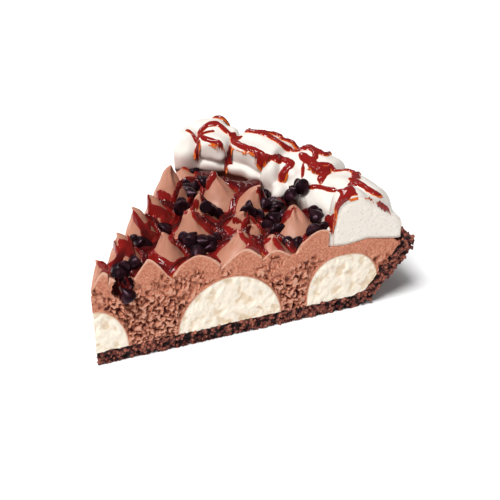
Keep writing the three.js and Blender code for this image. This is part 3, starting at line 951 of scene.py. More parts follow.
@dataclass
class Crust:
    """The crumb shell: its floor, its sloped wall with the rim, and loose crumbs along them."""

    joint_radius: float = 104.0
    floor_grid: tuple[int, int, int] = (340, 20, 60)
    wall_grid: tuple[int, int, int] = (120, 20, 230)
    outline_steps: int = 4000
    rising_steps: int = 2600  # those that come before the rim turns back
    bend: float = 0.5
    bend_size: float = 2.0
    grain: float = 1.25
    relief: float = 0.95
    lump_gain: float = 0.95
    dome_gain: float = 0.75
    sunk: float = 0.55
    crumb_count: int = 700
    crumb_sunk: float = 0.1
    crumb_cut_share: float = 0.4
    crumb_cut_size: float = 0.7
    crumb_squash: Pair = (0.65, 1.1)
    crumb_radii: Pair = (0.35, 0.95)
    crumb_reach: Pair = (2, 122)
    crumb_rise: Pair = (0.6, 5.0)
    crumb_dent: float = 0.28

    def crumbly(self, shell: Shell) -> None:
        """Gives a shell grains with gaps between them.

        Lumps are bent noise in three sizes; on them sit domes round scattered points, with the gaps
        between neighbouring points sunk in.

        Args:
            shell: The smooth crust.
        """
        bent = shell.points + self.bend * noise_ways(shell.points, self.bend_size, 5)
        lumps = soft_noise(bent, self.grain * 1.7, 3, 3)
        nearest, second, tint = scattered_cells(bent, self.grain, 13)
        rim = smooth_step(second - nearest, 0.03, 0.28)
        dome = np.clip(1 - (nearest / 0.8) ** 2, 0, 1) * rim
        shell.push(self.relief * (self.lump_gain * lumps + self.dome_gain * dome - self.sunk))
        shell.keep_off_table()
        # Painted shade goes into the gaps and low lumps; the tint gives paler grains at random and a painted
        # highlight on raised lumps.
        shell.values["gap_shade"] = np.clip(
            1.1 * smooth_step(-lumps, -0.12, 0.38) + 0.75 * (1 - rim) - 0.25 * dome, 0, 1)
        shell.values["tint"] = np.clip(0.55 * tint + 0.9 * np.clip(lumps, -0.3, 0.5) + 0.25, 0, 1)

    def split_profile(self, outline: list[Pair], count: int, inside: bool) -> Array:
        """Takes one side of the section, up to the joint between floor and wall or from it on.

        Args:
            outline: The whole side, from the pie's middle to the rim.
            count: How many points to give.
            inside: Whether to take the floor's part.

        Returns:
            Points spaced evenly along that part.
        """
        dense = resample(outline, self.outline_steps)
        rising = dense[:self.rising_steps]
        joint = np.array([self.joint_radius, np.interp(self.joint_radius, *rising.T)])
        if inside:
            part = np.vstack([dense[dense[:, 0] <= self.joint_radius], joint])
        else:
            part = np.vstack([joint, dense[dense[:, 0] >= self.joint_radius]])
        return resample([tuple(point) for point in part], count)

    def build(self, finish: bpy.types.Material) -> Shell:
        """Makes the floor, the wall and the crumbs.

        Args:
            finish: Their material.

        Returns:
            The wall, which sauce can lie on.
        """
        parts = (("crust_floor", self.floor_grid, True), ("crust_wall", self.wall_grid, False))
        for name, (columns, rows, steps), inside in parts:
            outer, inner = (self.split_profile(line, columns, inside) for line in (CRUST_OUTER, CRUST_INNER))
            shell = Shell.closed(sweep(outer, inner, rows, steps))
            self.crumbly(shell)
            shell.piece(name, finish, Slot.CRUST, ["crust"])
        self.crumbs(finish)
        return shell

    def crumbs(self, finish: bpy.types.Material) -> None:
        """Scatters loose crumbs over the wall, the rim and the crust's cut edges.

        Each crumb is a ball whose corners are pulled in and out at random, pressed halfway in.

        Args:
            finish: Their material.
        """
        rng = np.random.default_rng(17)
        ball, triangles = icosphere()
        count = self.crumb_count
        outer = resample(CRUST_OUTER[2:], 400)
        spots = outer[rng.integers(0, len(outer), count)]
        turn = rng.uniform(-HALF_ANGLE, HALF_ANGLE, count)
        centres = polar(spots[:, 0], turn, spots[:, 1])
        centres -= np.array([[0, 0, self.crumb_sunk]])
        on_cut = rng.random(count) < self.crumb_cut_share
        reach = rng.uniform(*self.crumb_reach, count)
        floor = np.interp(reach, *np.array(CRUST_OUTER[:8]).T)
        level = floor + rng.uniform(*self.crumb_rise, count)
        way = np.where((rng.random(count) < 0.5)[:, None], FRONT_WAY, BACK_WAY)
        centres[on_cut] = np.concatenate([way * reach[:, None], level[:, None]], axis=1)[on_cut]
        size = rng.uniform(*self.crumb_radii, count) * np.where(on_cut, self.crumb_cut_size, 1.0)
        shape = 1 + self.crumb_dent * rng.standard_normal((count, len(ball)))
        squash = rng.uniform(*self.crumb_squash, (count, 1, 3))
        points = centres[:, None] + ball[None] * shape[..., None] * squash * size[:, None, None]
        faces = triangles[None] + (np.arange(count) * len(ball))[:, None, None]
        shell = Shell(points.reshape(-1, 3), faces.reshape(-1, 3))
        shell.keep_off_table()
        shell.values["gap_shade"] = np.zeros(len(shell.points))
        shell.values["tint"] = np.repeat(rng.random(count), len(ball))
        shell.piece("crust_crumbs", finish, Slot.CRUST, [], crease=180)


def icosphere() -> tuple[Array, Array]:
    """Works out a ball of 42 corners: an icosahedron whose faces are each split into four.

    Returns:
        Its corners, a unit from the middle, and its triangles.
    """
    golden = (1 + math.sqrt(5)) / 2
    signs = np.array([(a, b) for a in (-1, 1) for b in (-1, 1)], float)
    corners = np.concatenate([np.insert(signs * (1, golden), axis, 0, axis=1) for axis in range(3)])
    corners[4:8] = np.stack([signs[:, 1] * golden, np.zeros(4), signs[:, 0]], axis=-1)
    corners /= np.linalg.norm(corners[0])
    near = np.linalg.norm(corners[:, None] - corners[None], axis=-1)
    joined = (near > 0.1) & (near < 1.2)
    triples = np.argwhere(joined[:, :, None] & joined[:, None] & joined[None]).tolist()
    points = list(corners)
    middles: dict[tuple[int, int], int] = {}
    split = []
    for face in (three for three in triples if three[0] < three[1] < three[2]):
        mids = []
        for a, b in ((0, 1), (1, 2), (0, 2)):
            key = (face[a], face[b])
            if key not in middles:
                middle = corners[key[0]] + corners[key[1]]
                middles[key] = len(points)
                points.append(middle / np.linalg.norm(middle))
            mids.append(middles[key])
        ab, bc, ac = mids
        split += [(face[0], ab, ac), (face[1], bc, ab), (face[2], ac, bc), (ab, bc, ac)]
    ball, faces = np.array(points), np.array(split)
    inward = np.einsum("ij,ij->i", Shell.face_normals(ball, faces), ball[faces[:, 0]]) < 0
    faces[inward] = faces[inward][:, ::-1]
    return ball, faces


@dataclass
class Filling:
    """The chocolate mousse that fills the crust, and the vanilla mounds that run through it."""

    torn: TornFace = field(default_factory=TornFace)
    reach: float = 121.4
    spacing: float = 0.34
    mousse_grid: tuple[int, int] = (72, 40)
    roll: float = 0.5
    roll_size: float = 6.0
    top_level: float = 27.0
    tip_room: float = 0.12
    mound_spacing: float = 0.36
    mound_grid: tuple[int, int] = (56, 14)
    mound_bend: float = 1.1
    mound_lumps: float = 0.42
    mound_grain: float = 0.16
    mound_sunk: float = 0.1
    mound_edge_sunk: float = 0.12

    def crust_line(self, radius: Array) -> Array:
        """Height of the crust's inner side at a radius."""
        return np.interp(radius, *np.array(CRUST_INNER[:-1]).T)

    def columns(self) -> Array:
        """Chooses the cut's columns: even, and closer where a mound's side stands steep.

        Returns:
            Their radii.
        """
        even = np.arange(0, self.reach, self.spacing)
        steep = [mound.columns(1.6) for mound in MOUNDS]
        radii = np.unique(np.round(np.concatenate([even, *steep, [self.reach]]), 3))
        return radii[(radii >= 0) & (radii <= self.reach)]

    def mousse(self, finish: bpy.types.Material) -> Shell:
        """Makes the mousse with its torn cuts; its top rolls gently between the peaks.

        Args:
            finish: Its material.

        Returns:
            The mousse.
        """
        radii = self.columns()
        floor = np.max([self.crust_line(radii), *(mound.height(radii) for mound in MOUNDS)], axis=0)
        top = np.interp(radii, *np.array(MOUSSE_TOP).T)
        lines = (np.stack([radii, height], axis=-1) for height in (np.minimum(floor, top), top))
        shell = Shell.closed(sweep(*lines, *self.mousse_grid))
        cut = shell.on_cuts()
        depth, pit, crest = self.torn.relief(shell.points)
        near = np.max([mound.depth_inside(shell.points) for mound in MOUNDS], axis=0)
        flush = smooth_step(-near, 0.05, 1.0)
        tip_room = np.clip(np.linalg.norm(shell.points[:, :2], axis=1) * self.tip_room, 0, 1)
        shell.push(np.where(cut, -depth * flush * tip_room, 0))
        hollowed = ChipHollow().carve(shell)
        upward = ~cut & (shell.points[:, 2] > self.top_level)
        inside = np.minimum(*cut_distances(shell.points))
        roll = self.roll * soft_noise(shell.points, self.roll_size, 51, 2) * smooth_step(inside, 0.3, 3)
        shell.points[:, 2] += np.where(upward, roll, 0)
        shell.values["cut"] = cut.astype(float)
        # Painted shade goes into the torn face's pits and the chip hollow, and a painted highlight onto its
        # crests.
        shell.values["pit"] = np.maximum(np.where(cut, pit * flush, 0), smooth_step(hollowed, 0.2, 2.0))
        shell.values["skin"] = np.where(cut, 0.6 * crest * flush, 0)
        shell.piece("mousse_filling", finish, Slot.MOUSSE, ["mousse"], crease=50)
        return shell

    def vanilla(self, mound: Mound, finish: bpy.types.Material) -> None:
        """Makes one vanilla mound, which ends where it meets the crust.

        Soft hollows and a few deeper dimples mark its cut faces.

        Args:
            mound: Its outline.
            finish: Its material.
        """
        radii = mound.columns(self.mound_spacing)
        radii = np.unique(np.concatenate([[0.0], radii[radii > 0]])) if mound.middle == 0 else radii
        room = mound.height(radii) - self.crust_line(radii)
        last = int(np.flatnonzero(room >= 0)[-1])
        if last + 1 < len(radii):
            share = room[last] / (room[last] - room[last + 1])
            radii = np.append(radii[:last + 1], radii[last] + share * (radii[last + 1] - radii[last]))
        low = np.maximum(CRUST_FLOOR, self.crust_line(radii))
        high = np.maximum(mound.height(radii), low)
        lines = (np.stack([radii, height], axis=-1) for height in (low, high))
        shell = Shell.closed(sweep(*lines, *self.mound_grid))
        cut = shell.on_cuts()
        sway = self.mound_bend * noise_ways(shell.points, 4.0, 61, 2)
        bent = (shell.points + sway) * np.array([1.0, 1.0, 0.7])
        lumps = soft_noise(bent, 3.2, 65, 3)
        fine = soft_noise(bent, 1.3, 75, 2)
        inside = mound.depth_inside(shell.points)
        edge = smooth_step(inside, 0.0, 1.2)
        relief = self.mound_lumps * lumps + self.mound_grain * fine - self.mound_sunk
        shell.push(np.where(cut, relief * edge - self.mound_edge_sunk * (1 - edge), 0))
        # Painted shade: the low parts of the relief go beige.
        shell.values["dimple_shade"] = np.clip(smooth_step(-lumps, 0.05, 0.5), 0, 1)
        shell.values["border"] = 0.65 * (1 - smooth_step(inside, 0.1, 0.75))
        shell.piece(mound.name + "_set", finish, Slot.VANILLA, [mound.name], crease=50)

    def build(self, mousse_finish: bpy.types.Material, vanilla_finish: bpy.types.Material) -> Shell:
        """Makes all the mounds and the mousse.

        Args:
            mousse_finish: The mousse's material.
            vanilla_finish: The mounds' material.

        Returns:
            The mousse, which sauce can lie on.
        """
        for mound in MOUNDS:
            self.vanilla(mound, vanilla_finish)
        return self.mousse(mousse_finish)


@dataclass(frozen=True)
class Peak:
    """One piped peak: where its foot stands, its radius, and where its tip was drawn out to."""

    along: float
    across: float
    radius: float
    tip_along: float
    tip_across: float
    tip_height: float
    curl: float = 0.8
    full: float = 0.2
    turn: float = -60.0

    @property
    def foot(self) -> Array:
        """The foot's middle in plan."""
        return place(self.along, self.across)

    @property
    def lean(self) -> Array:
        """The way from the foot's middle to the tip, in plan."""
        return place(self.tip_along, self.tip_across) - self.foot

    @property
    def rise(self) -> float:
        """The tip's height above the mousse."""
        return self.tip_height - MOUSSE_LEVEL


PEAKS = (
    Peak(5, 2, 6.5, 3.5, 2.2, 44.5, 0.8, 0.3, -70),
    Peak(8.2, 0.4, 3.4, 7.4, 0.6, 37.4, 0.2, 0.6, -60),
    Peak(16, 14.5, 9, 14.6, 15.5, 45.5, 1.0, 0.2, -75),
    Peak(22, -2, 8.4, 20, -1.5, 44, 0.7, 0.5, -70),
    Peak(31, 10.3, 9.4, 30.2, 10.8, 45, 0.8, 0.05, -60),
    Peak(26, 28.5, 9, 24.2, 29.5, 46.5, 1.1, 0.2, -80),
    Peak(39.5, -5.4, 11, 38.5, -5, 44, 0.5, 0.9, -60),
    Peak(35.5, 36.8, 8.8, 32.8, 37.8, 45.5, 0.8, 0.2, -80),
    Peak(45, 20, 11.5, 43.9, 20.8, 46.5, 1.1, 0.05, 75),
    Peak(45, 50.4, 9.6, 45.2, 49.2, 50, 0.9, 0.35, 60),
    Peak(52, 31.4, 8, 50.8, 31.5, 45.5, 0.7, 0.1, 70),
    Peak(57.5, 4.2, 10.5, 57, 5, 43.5, 1.1, 0.15, -80),
    Peak(63, 40.5, 11.5, 60.5, 44, 47, 0.8, 0.2, 80),
    Peak(65.6, 9, 6.5, 64.5, 9.8, 41.5, 0.8, 0.05, -60),
    Peak(64.4, 19.6, 9.5, 63.6, 17.5, 42.8, 0.8, 0.25, 70),
    Peak(70, 3.5, 7, 70.5, 4, 39, 0.6, 0.3, 30),
    Peak(72, 33, 11, 75.5, 30.5, 45, 0.8, 0.1, 80),
    Peak(83, 10.5, 10.5, 82, 12, 45, 1.3, 0.25, 30),
    Peak(88, -4.5, 11, 88, -4.5, 43, 0.5, 0.8, 0),
    Peak(55.5, 65.5, 7.5, 54.6, 66.4, 37.4, 0.3, 0.6, -60),
)


@dataclass
class Peaks:
    """The piped chocolate peaks."""

    torn: TornFace = field(default_factory=TornFace)
    dome_power: float = 1.2
    cone_flare: float = 0.28
    nipple: float = 0.85
    hook: float = 1.9
    lumps: float = 0.055
    lump_size: float = 6.5
    skin_reach: Pair = (0.3, 1.0)
    skin_firmness: float = 0.8
    groove_depth: float = 0.34
    groove_width: float = 0.3
    groove_level: float = 0.74
    groove_length: float = 0.18
    lip: float = 0.7
    lip_turn: float = 0.62
    lip_width: float = 0.28
    levels: int = 64
    turns: int = 168
    field_radius: float = 91.4
    camera_turn: float = math.radians(222)

    def walls(self, peak: Peak) -> tuple[Array, Array]:
        """The upright planes that bound a peak: the two cuts, its neighbours and the cream.

        Two peaks share the way between them by their radii.

        Args:
            peak: The peak.

        Returns:
            Inward directions in plan, and how far along each the wall stands.
        """
        middle = peak.foot / max(np.linalg.norm(peak.foot), 1e-6)
        inward = [FRONT_INWARD, BACK_INWARD, -middle]
        limits = [0.0, 0.0, -self.field_radius]
        for other in PEAKS:
            if other is not peak:
                away = other.foot - peak.foot
                distance = np.linalg.norm(away)
                share = distance * peak.radius / (peak.radius + other.radius)
                inward.append(-away / distance)
                limits.append(float(-away @ peak.foot / distance - share))
        return np.array(inward), np.array(limits)

    def spine(self, peak: Peak) -> tuple[Array, Array, Array, Array, float]:
        """Works out a peak's rings before anything cuts them.

        The radius blends a dome, a power of a cosine, with a drawn-out cone that flares at its foot, and
        ends in a small round nipple. Each ring leans with the square of its height, away from the tip's
        hook, which brings it back.

        Args:
            peak: The peak.

        Returns:
            Each ring's level from 0 to 1, middle, radius and height, and the turn that the tip curls to.
        """
        level = 1 - (1 - np.linspace(0, 1, self.levels)) ** 1.35
        dome = np.cos(level * math.pi / 2) ** self.dome_power
        cone = (1 - self.cone_flare) * (1 - level) + self.cone_flare * (1 - level) ** 4
        body = peak.radius * (peak.full * dome + (1 - peak.full) * cone)
        nipple = self.nipple * np.sqrt(np.clip(1 - level**14, 0, 1)) * smooth_step(level, 0.3, 0.8)
        ring = np.sqrt(body**2 + nipple**2) * np.where(level < 1, 1, 0)
        way = self.camera_turn + math.radians(peak.turn)
        crook = smooth_step(level, 0.7, 1.02) ** 1.5
        swing = self.hook * peak.curl * (crook - level**2)
        hook = np.array([math.cos(way), math.sin(way)])
        middle = peak.foot + peak.lean * (level**2)[:, None] + hook * swing[:, None]
        height = MOUSSE_LEVEL + (peak.rise + 0.7 * peak.curl) * level - 0.8 * peak.curl * crook**2
        return level, middle, ring, height, way

    def shape(self, peak: Peak, order: int) -> Shell:
        """Works out one peak as rings from its foot to its tip.

        Walls cut the rings straight, and a groove with raised lips runs down under the curled tip.

        Args:
            peak: The peak.
            order: Its number, which seeds its unevenness.

        Returns:
            The closed peak.
        """
        level, middle, ring, height, way = self.spine(peak)
        inward, limits = self.walls(peak)
        depth = middle @ inward.T - limits
        centre = middle.copy()
        for wall in (0, 1):
            crosses = smooth_step(-depth[:, wall] / np.maximum(ring, 1e-6), -0.6, -0.2)
            shift = np.clip((ring - depth[:, wall]) / 2, 0, None) * crosses
            centre += inward[wall] * shift[:, None]
        gone = np.any(centre @ inward[:2].T - limits[:2] <= 1e-6, axis=1)
        turn = np.linspace(0, 2 * math.pi, self.turns + 1)
        spoke = polar(1, turn)
        offset = centre - middle
        along = offset @ spoke.T
        reach = -along + np.sqrt(np.clip(along**2 + (ring**2 - (offset**2).sum(1))[:, None], 0, None))
        upright = np.broadcast_to(height[:, None, None], (*reach.shape, 1))
        spot = np.concatenate([centre[:, None] + spoke[None] * reach[..., None], upright], axis=-1)
        lumps = self.lumps * soft_noise(spot, self.lump_size, 300 + order, 2)
        side = np.angle(np.exp(1j * (turn - way)))[None]
        groove = (np.exp(-(side / self.groove_width) ** 2)
                  - self.lip * np.exp(-((np.abs(side) - self.lip_turn) / self.lip_width) ** 2))
        along_groove = np.exp(-((level - self.groove_level) / self.groove_length) ** 2)[:, None]
        reach = reach * (1 + lumps - self.groove_depth * groove * along_groove)
        slack = np.clip((centre @ inward.T - limits)[:, None, :], 0, None)
        slope = -(spoke @ inward.T)[None]
        wall_reach = np.where(slope > 1e-6, slack / np.maximum(slope, 1e-6), 1e3).min(axis=-1)
        reach = np.minimum(reach, wall_reach)
        reach[gone] = 0
        grid = np.concatenate([centre[:, None] + spoke[None] * reach[..., None], upright], axis=-1)
        if gone.any():
            grid = grid[:max(int(np.argmax(gone)), 2)]
            top = np.broadcast_to(grid[-1:].mean(axis=1, keepdims=True), grid[-1:].shape)
            grid = np.concatenate([grid, top])
        foot = np.broadcast_to(grid[:1, :-1].mean(axis=1, keepdims=True), grid[:1].shape)
        grid = np.concatenate([foot, grid])
        grid[:, -1] = grid[:, 0]
        return Shell.closed([Patch(grid)])

    def skin(self, points: Array, peak: Peak) -> Array:
        """How much each place on a cut belongs to the pale skin just under the peak's outside.

        Args:
            points: Places in mm.
            peak: The peak.

        Returns:
            A share from 0 to 1.
        """
        _, middle, ring, height, _ = self.spine(peak)
        rising = np.maximum.accumulate(height)
        radius = np.interp(points[:, 2], rising, ring)
        centre = np.stack([np.interp(points[:, 2], rising, middle[:, axis]) for axis in range(2)], axis=-1)
        inside = radius - np.linalg.norm(points[:, :2] - centre, axis=1)
        return 1 - smooth_step(inside, *self.skin_reach)

    def build(self, finish: bpy.types.Material) -> list[Shell]:
        """Makes every peak, with a torn face where a cut goes through it.

        Args:
            finish: Their material.

        Returns:
            The peaks, which sauce can lie on.
        """
        shells = []
        for order, peak in enumerate(PEAKS, start=1):
            shell = self.shape(peak, order)
            cut = shell.on_cuts()
            depth, pit, _ = self.torn.relief(shell.points)
            shell.values["skin"] = np.where(cut, self.skin(shell.points, peak), 0)
            shell.push(np.where(cut, -depth * (1 - self.skin_firmness * shell.values["skin"]), 0))
            hollowed = ChipHollow().carve(shell)
            shell.values["cut"] = cut.astype(float)
            # Painted shade goes into the torn face's pits and the chip hollow.
            shell.values["pit"] = np.maximum(np.where(cut, pit, 0), smooth_step(hollowed, 0.2, 2.0))
            name = f"peak_{order:02d}"
            shell.piece(name + "_piped", finish, Slot.PEAK, [name], crease=55)
            shells.append(shell)
        return shells


# How far each chip is tipped from upright, and which way, in degrees
CHIP_LEANS = (
    (70, 250), (30, 160), (110, 200), (75, 120), (80, 30), (95, 80), (60, 300), (50, 170), (40, 250),
    (50, 215), (55, 290), (80, 240), (100, 75), (45, 200), (65, 20), (70, 330), (60, 90), (60, 200),
    (70, 260), (45, 130), (98, 70), (60, 240), (80, 190), (60, 200), (75, 10),
)


@dataclass
class Chips:
    """The chocolate chips: drops with a flat base and a small drawn tip, each tipped over its own way."""

    radius: float = 3.35
    spread: Pair = (0.93, 1.06)
    outline: tuple[Pair, ...] = (
        (0, 0), (0.8, 0), (0.93, 0.04), (1.0, 0.16), (1.0, 0.34), (0.93, 0.6), (0.8, 0.85), (0.62, 1.08),
        (0.44, 1.27), (0.28, 1.43), (0.17, 1.56), (0.09, 1.66), (0, 1.7),
    )
    middle: float = 0.82
    rings: int = 36
    segments: int = 36
    dents: Pair = (0.03, 0.02)

    def turned(self, rng: np.random.Generator, size: float, tilt: float, heading: float) -> Array:
        """Turns the drop's outline round its own axis and tips it over.

        Args:
            rng: Gives its small dents.
            size: Its radius in mm.
            tilt: How far it is tipped from upright, in degrees.
            heading: Which way it is tipped, in degrees from the front cut.

        Returns:
            A grid of points about its middle.
        """
        outline = resample(list(self.outline), self.rings) * size
        turn = np.linspace(0, 2 * math.pi, self.segments + 1)
        two, three = self.dents
        wobble = 1 + two * np.cos(2 * turn + rng.uniform(0, 6)) + three * np.cos(3 * turn + rng.uniform(0, 6))
        radius = outline[:, :1] * wobble
        x, y = radius * np.cos(turn), radius * np.sin(turn)
        z = np.broadcast_to(outline[:, 1:] - self.middle * size, radius.shape)
        lean, head = math.radians(tilt), math.radians(heading) - HALF_ANGLE
        x, z = x * math.cos(lean) + z * math.sin(lean), -x * math.sin(lean) + z * math.cos(lean)
        x, y = x * math.cos(head) - y * math.sin(head), x * math.sin(head) + y * math.cos(head)
        grid = np.stack([x, y, z], axis=-1)
        grid[:, -1] = grid[:, 0]
        return grid

    def build(self, finish: bpy.types.Material) -> None:
        """Makes every chip where its solid lies.

        Args:
            finish: Their material.
        """
        for order, (tilt, heading) in enumerate(CHIP_LEANS, start=1):
            rng = np.random.default_rng(500 + order)
            name = f"chip_{order:02d}"
            low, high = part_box(name)
            centre = ((np.array(low) + np.array(high)) / 2 - PIE_AXIS.offset) / MM
            grid = self.turned(rng, self.radius * rng.uniform(*self.spread), tilt, heading)
            shell = Shell.closed([Patch(grid + centre)])
            shell.piece(name + "_moulded", finish, Slot.CHIP, [name], crease=70)


@dataclass(frozen=True)
class Heap:
    """A dark pile in the photograph, and a pixel at the middle of each chip in it."""

    name: str
    pixels: tuple[Pair, ...]


HEAPS = (
    Heap("before_ninth_peak", (
        (184, 237), (190, 243), (198, 248), (205, 244), (212, 241), (217, 237), (201, 252), (208, 249),
        (193, 237))),
    Heap("behind_eighth_peak", ((182, 203),)),
    Heap("before_tenth_peak", ((188, 190), (193, 194), (195, 186), (186, 186))),
    Heap("on_eleventh_peak", ((205, 207), (210, 210), (217, 214))),
    Heap("below_seventeenth_peak", (
        (248, 208), (254, 212), (260, 216), (266, 221), (272, 226), (278, 217), (271, 211), (264, 206),
        (279, 229))),
    Heap("under_the_tongue", (
        (268, 195), (273, 201), (279, 204), (286, 199), (291, 197), (297, 186), (293, 190))),
    Heap("before_the_cream", ((308, 213), (314, 210), (318, 216), (323, 227), (312, 229), (317, 231))),
    Heap("tip_hollow", ((119, 268), (125, 266), (130, 270), (122, 276), (127, 283), (126, 289))),
    Heap("behind_third_peak", ((135, 238), (141, 241), (146, 245))),
    Heap("beside_sixteenth_peak", ((288, 242), (295, 243), (277, 232))),
)


@dataclass
class FallenChips:
    """Smaller chips heaped in the hollows between the peaks, where the photograph shows dark piles."""

    sizes: Pair = (1.9, 2.6)
    sunk: float = 0.42
    facing_share: float = 0.35
    facing_tilts: Pair = (95, 125)
    facing_headings: Pair = (45, 95)
    other_tilts: Pair = (20, 110)

    def build(self, view: PhotoView, terrain: Terrain, drop: Chips, finish: bpy.types.Material) -> Array:
        """Lays each chip where its pixel's ray meets the ground, tipped over its own way, and joins them.

        Some face the camera with their bases.

        Args:
            view: The photograph's camera.
            terrain: What the chips lie on.
            drop: The shape of a chip.
            finish: Their material.

        Returns:
            Where they lie.
        """
        rng = np.random.default_rng(900)
        spots = terrain.seen(view, np.array([pixel for heap in HEAPS for pixel in heap.pixels], float))
        points, faces, base = [], [], 0
        for spot in spots:
            size = rng.uniform(*self.sizes)
            facing = rng.random() < self.facing_share
            tilt = rng.uniform(*(self.facing_tilts if facing else self.other_tilts))
            heading = rng.uniform(*(self.facing_headings if facing else (0, 360)))
            centre = spot + np.array([0, 0, size * (1 - 2 * self.sunk)])
            shell = Shell.closed([Patch(drop.turned(rng, size, tilt, heading) + centre)])
            points.append(shell.points)
            faces.append(shell.faces + base)
            base += len(shell.points)
        heap = Shell(np.concatenate(points), np.concatenate(faces))
        heap.piece("chips_fallen_between", finish, Slot.CHIP, [], crease=70)
        return spots


@dataclass(frozen=True)
class Lobe:
    """A heap of cream: its turn from the front cut, radius, height, half-sizes in mm and boxiness.

    The boxiness is the power of a superellipsoid: 2 is round, and more gives a flat top with a firm edge.
    """

    turn: float
    radius: float
    height: float
    reach: float
    breadth: float
    rise: float
    power: float = 2.0


LOBES = (
    Lobe(2.0, 102.2, 36, 9.4, 9.5, 15.8, 2.2),
    Lobe(3, 94.8, 33.5, 4.6, 5.5, 5.0, 2.2),
    Lobe(3.2, 109, 34, 10.4, 12, 12.0, 2.2),
    Lobe(7.5, 115, 36, 8, 13, 9.6),
    Lobe(13.2, 114.5, 36, 8.5, 8, 8.8, 2.4),
    Lobe(14, 112.5, 38.5, 6.5, 7.5, 4.6, 4.5),
    Lobe(15.5, 106.5, 35, 6.8, 9, 6.0, 2.6),
    Lobe(21, 117, 36, 6.8, 7.2, 9.4, 2.8),
    Lobe(21.5, 113, 40, 5.5, 6.5, 4.6, 4.5),
    Lobe(25, 113, 36, 9, 10, 9.8, 2.4),
    Lobe(25.6, 105, 35, 5.5, 6, 8.2, 2.6),
    Lobe(28.6, 99.5, 35, 4.6, 4.4, 8.6, 2.2),
    Lobe(24.8, 97, 33, 4, 4.2, 4.5),
    Lobe(35.4, 109.6, 35, 10.0, 14.4, 12.6, 2.8),
    Lobe(35, 107, 42.2, 8.8, 10.5, 5.2, 5.0),
    Lobe(36.8, 98.6, 35.6, 3.0, 9.5, 3.0, 2.2),
    Lobe(48.6, 107.8, 35.5, 9.6, 11.5, 13.2, 2.6),
    Lobe(44.8, 102.6, 43, 8, 6.8, 5.2, 4.5),
    Lobe(45.6, 97.2, 35.2, 3.0, 7, 3.0, 2.2),
    Lobe(52.8, 100.6, 38, 9.8, 9.8, 9.8, 2.2),
)


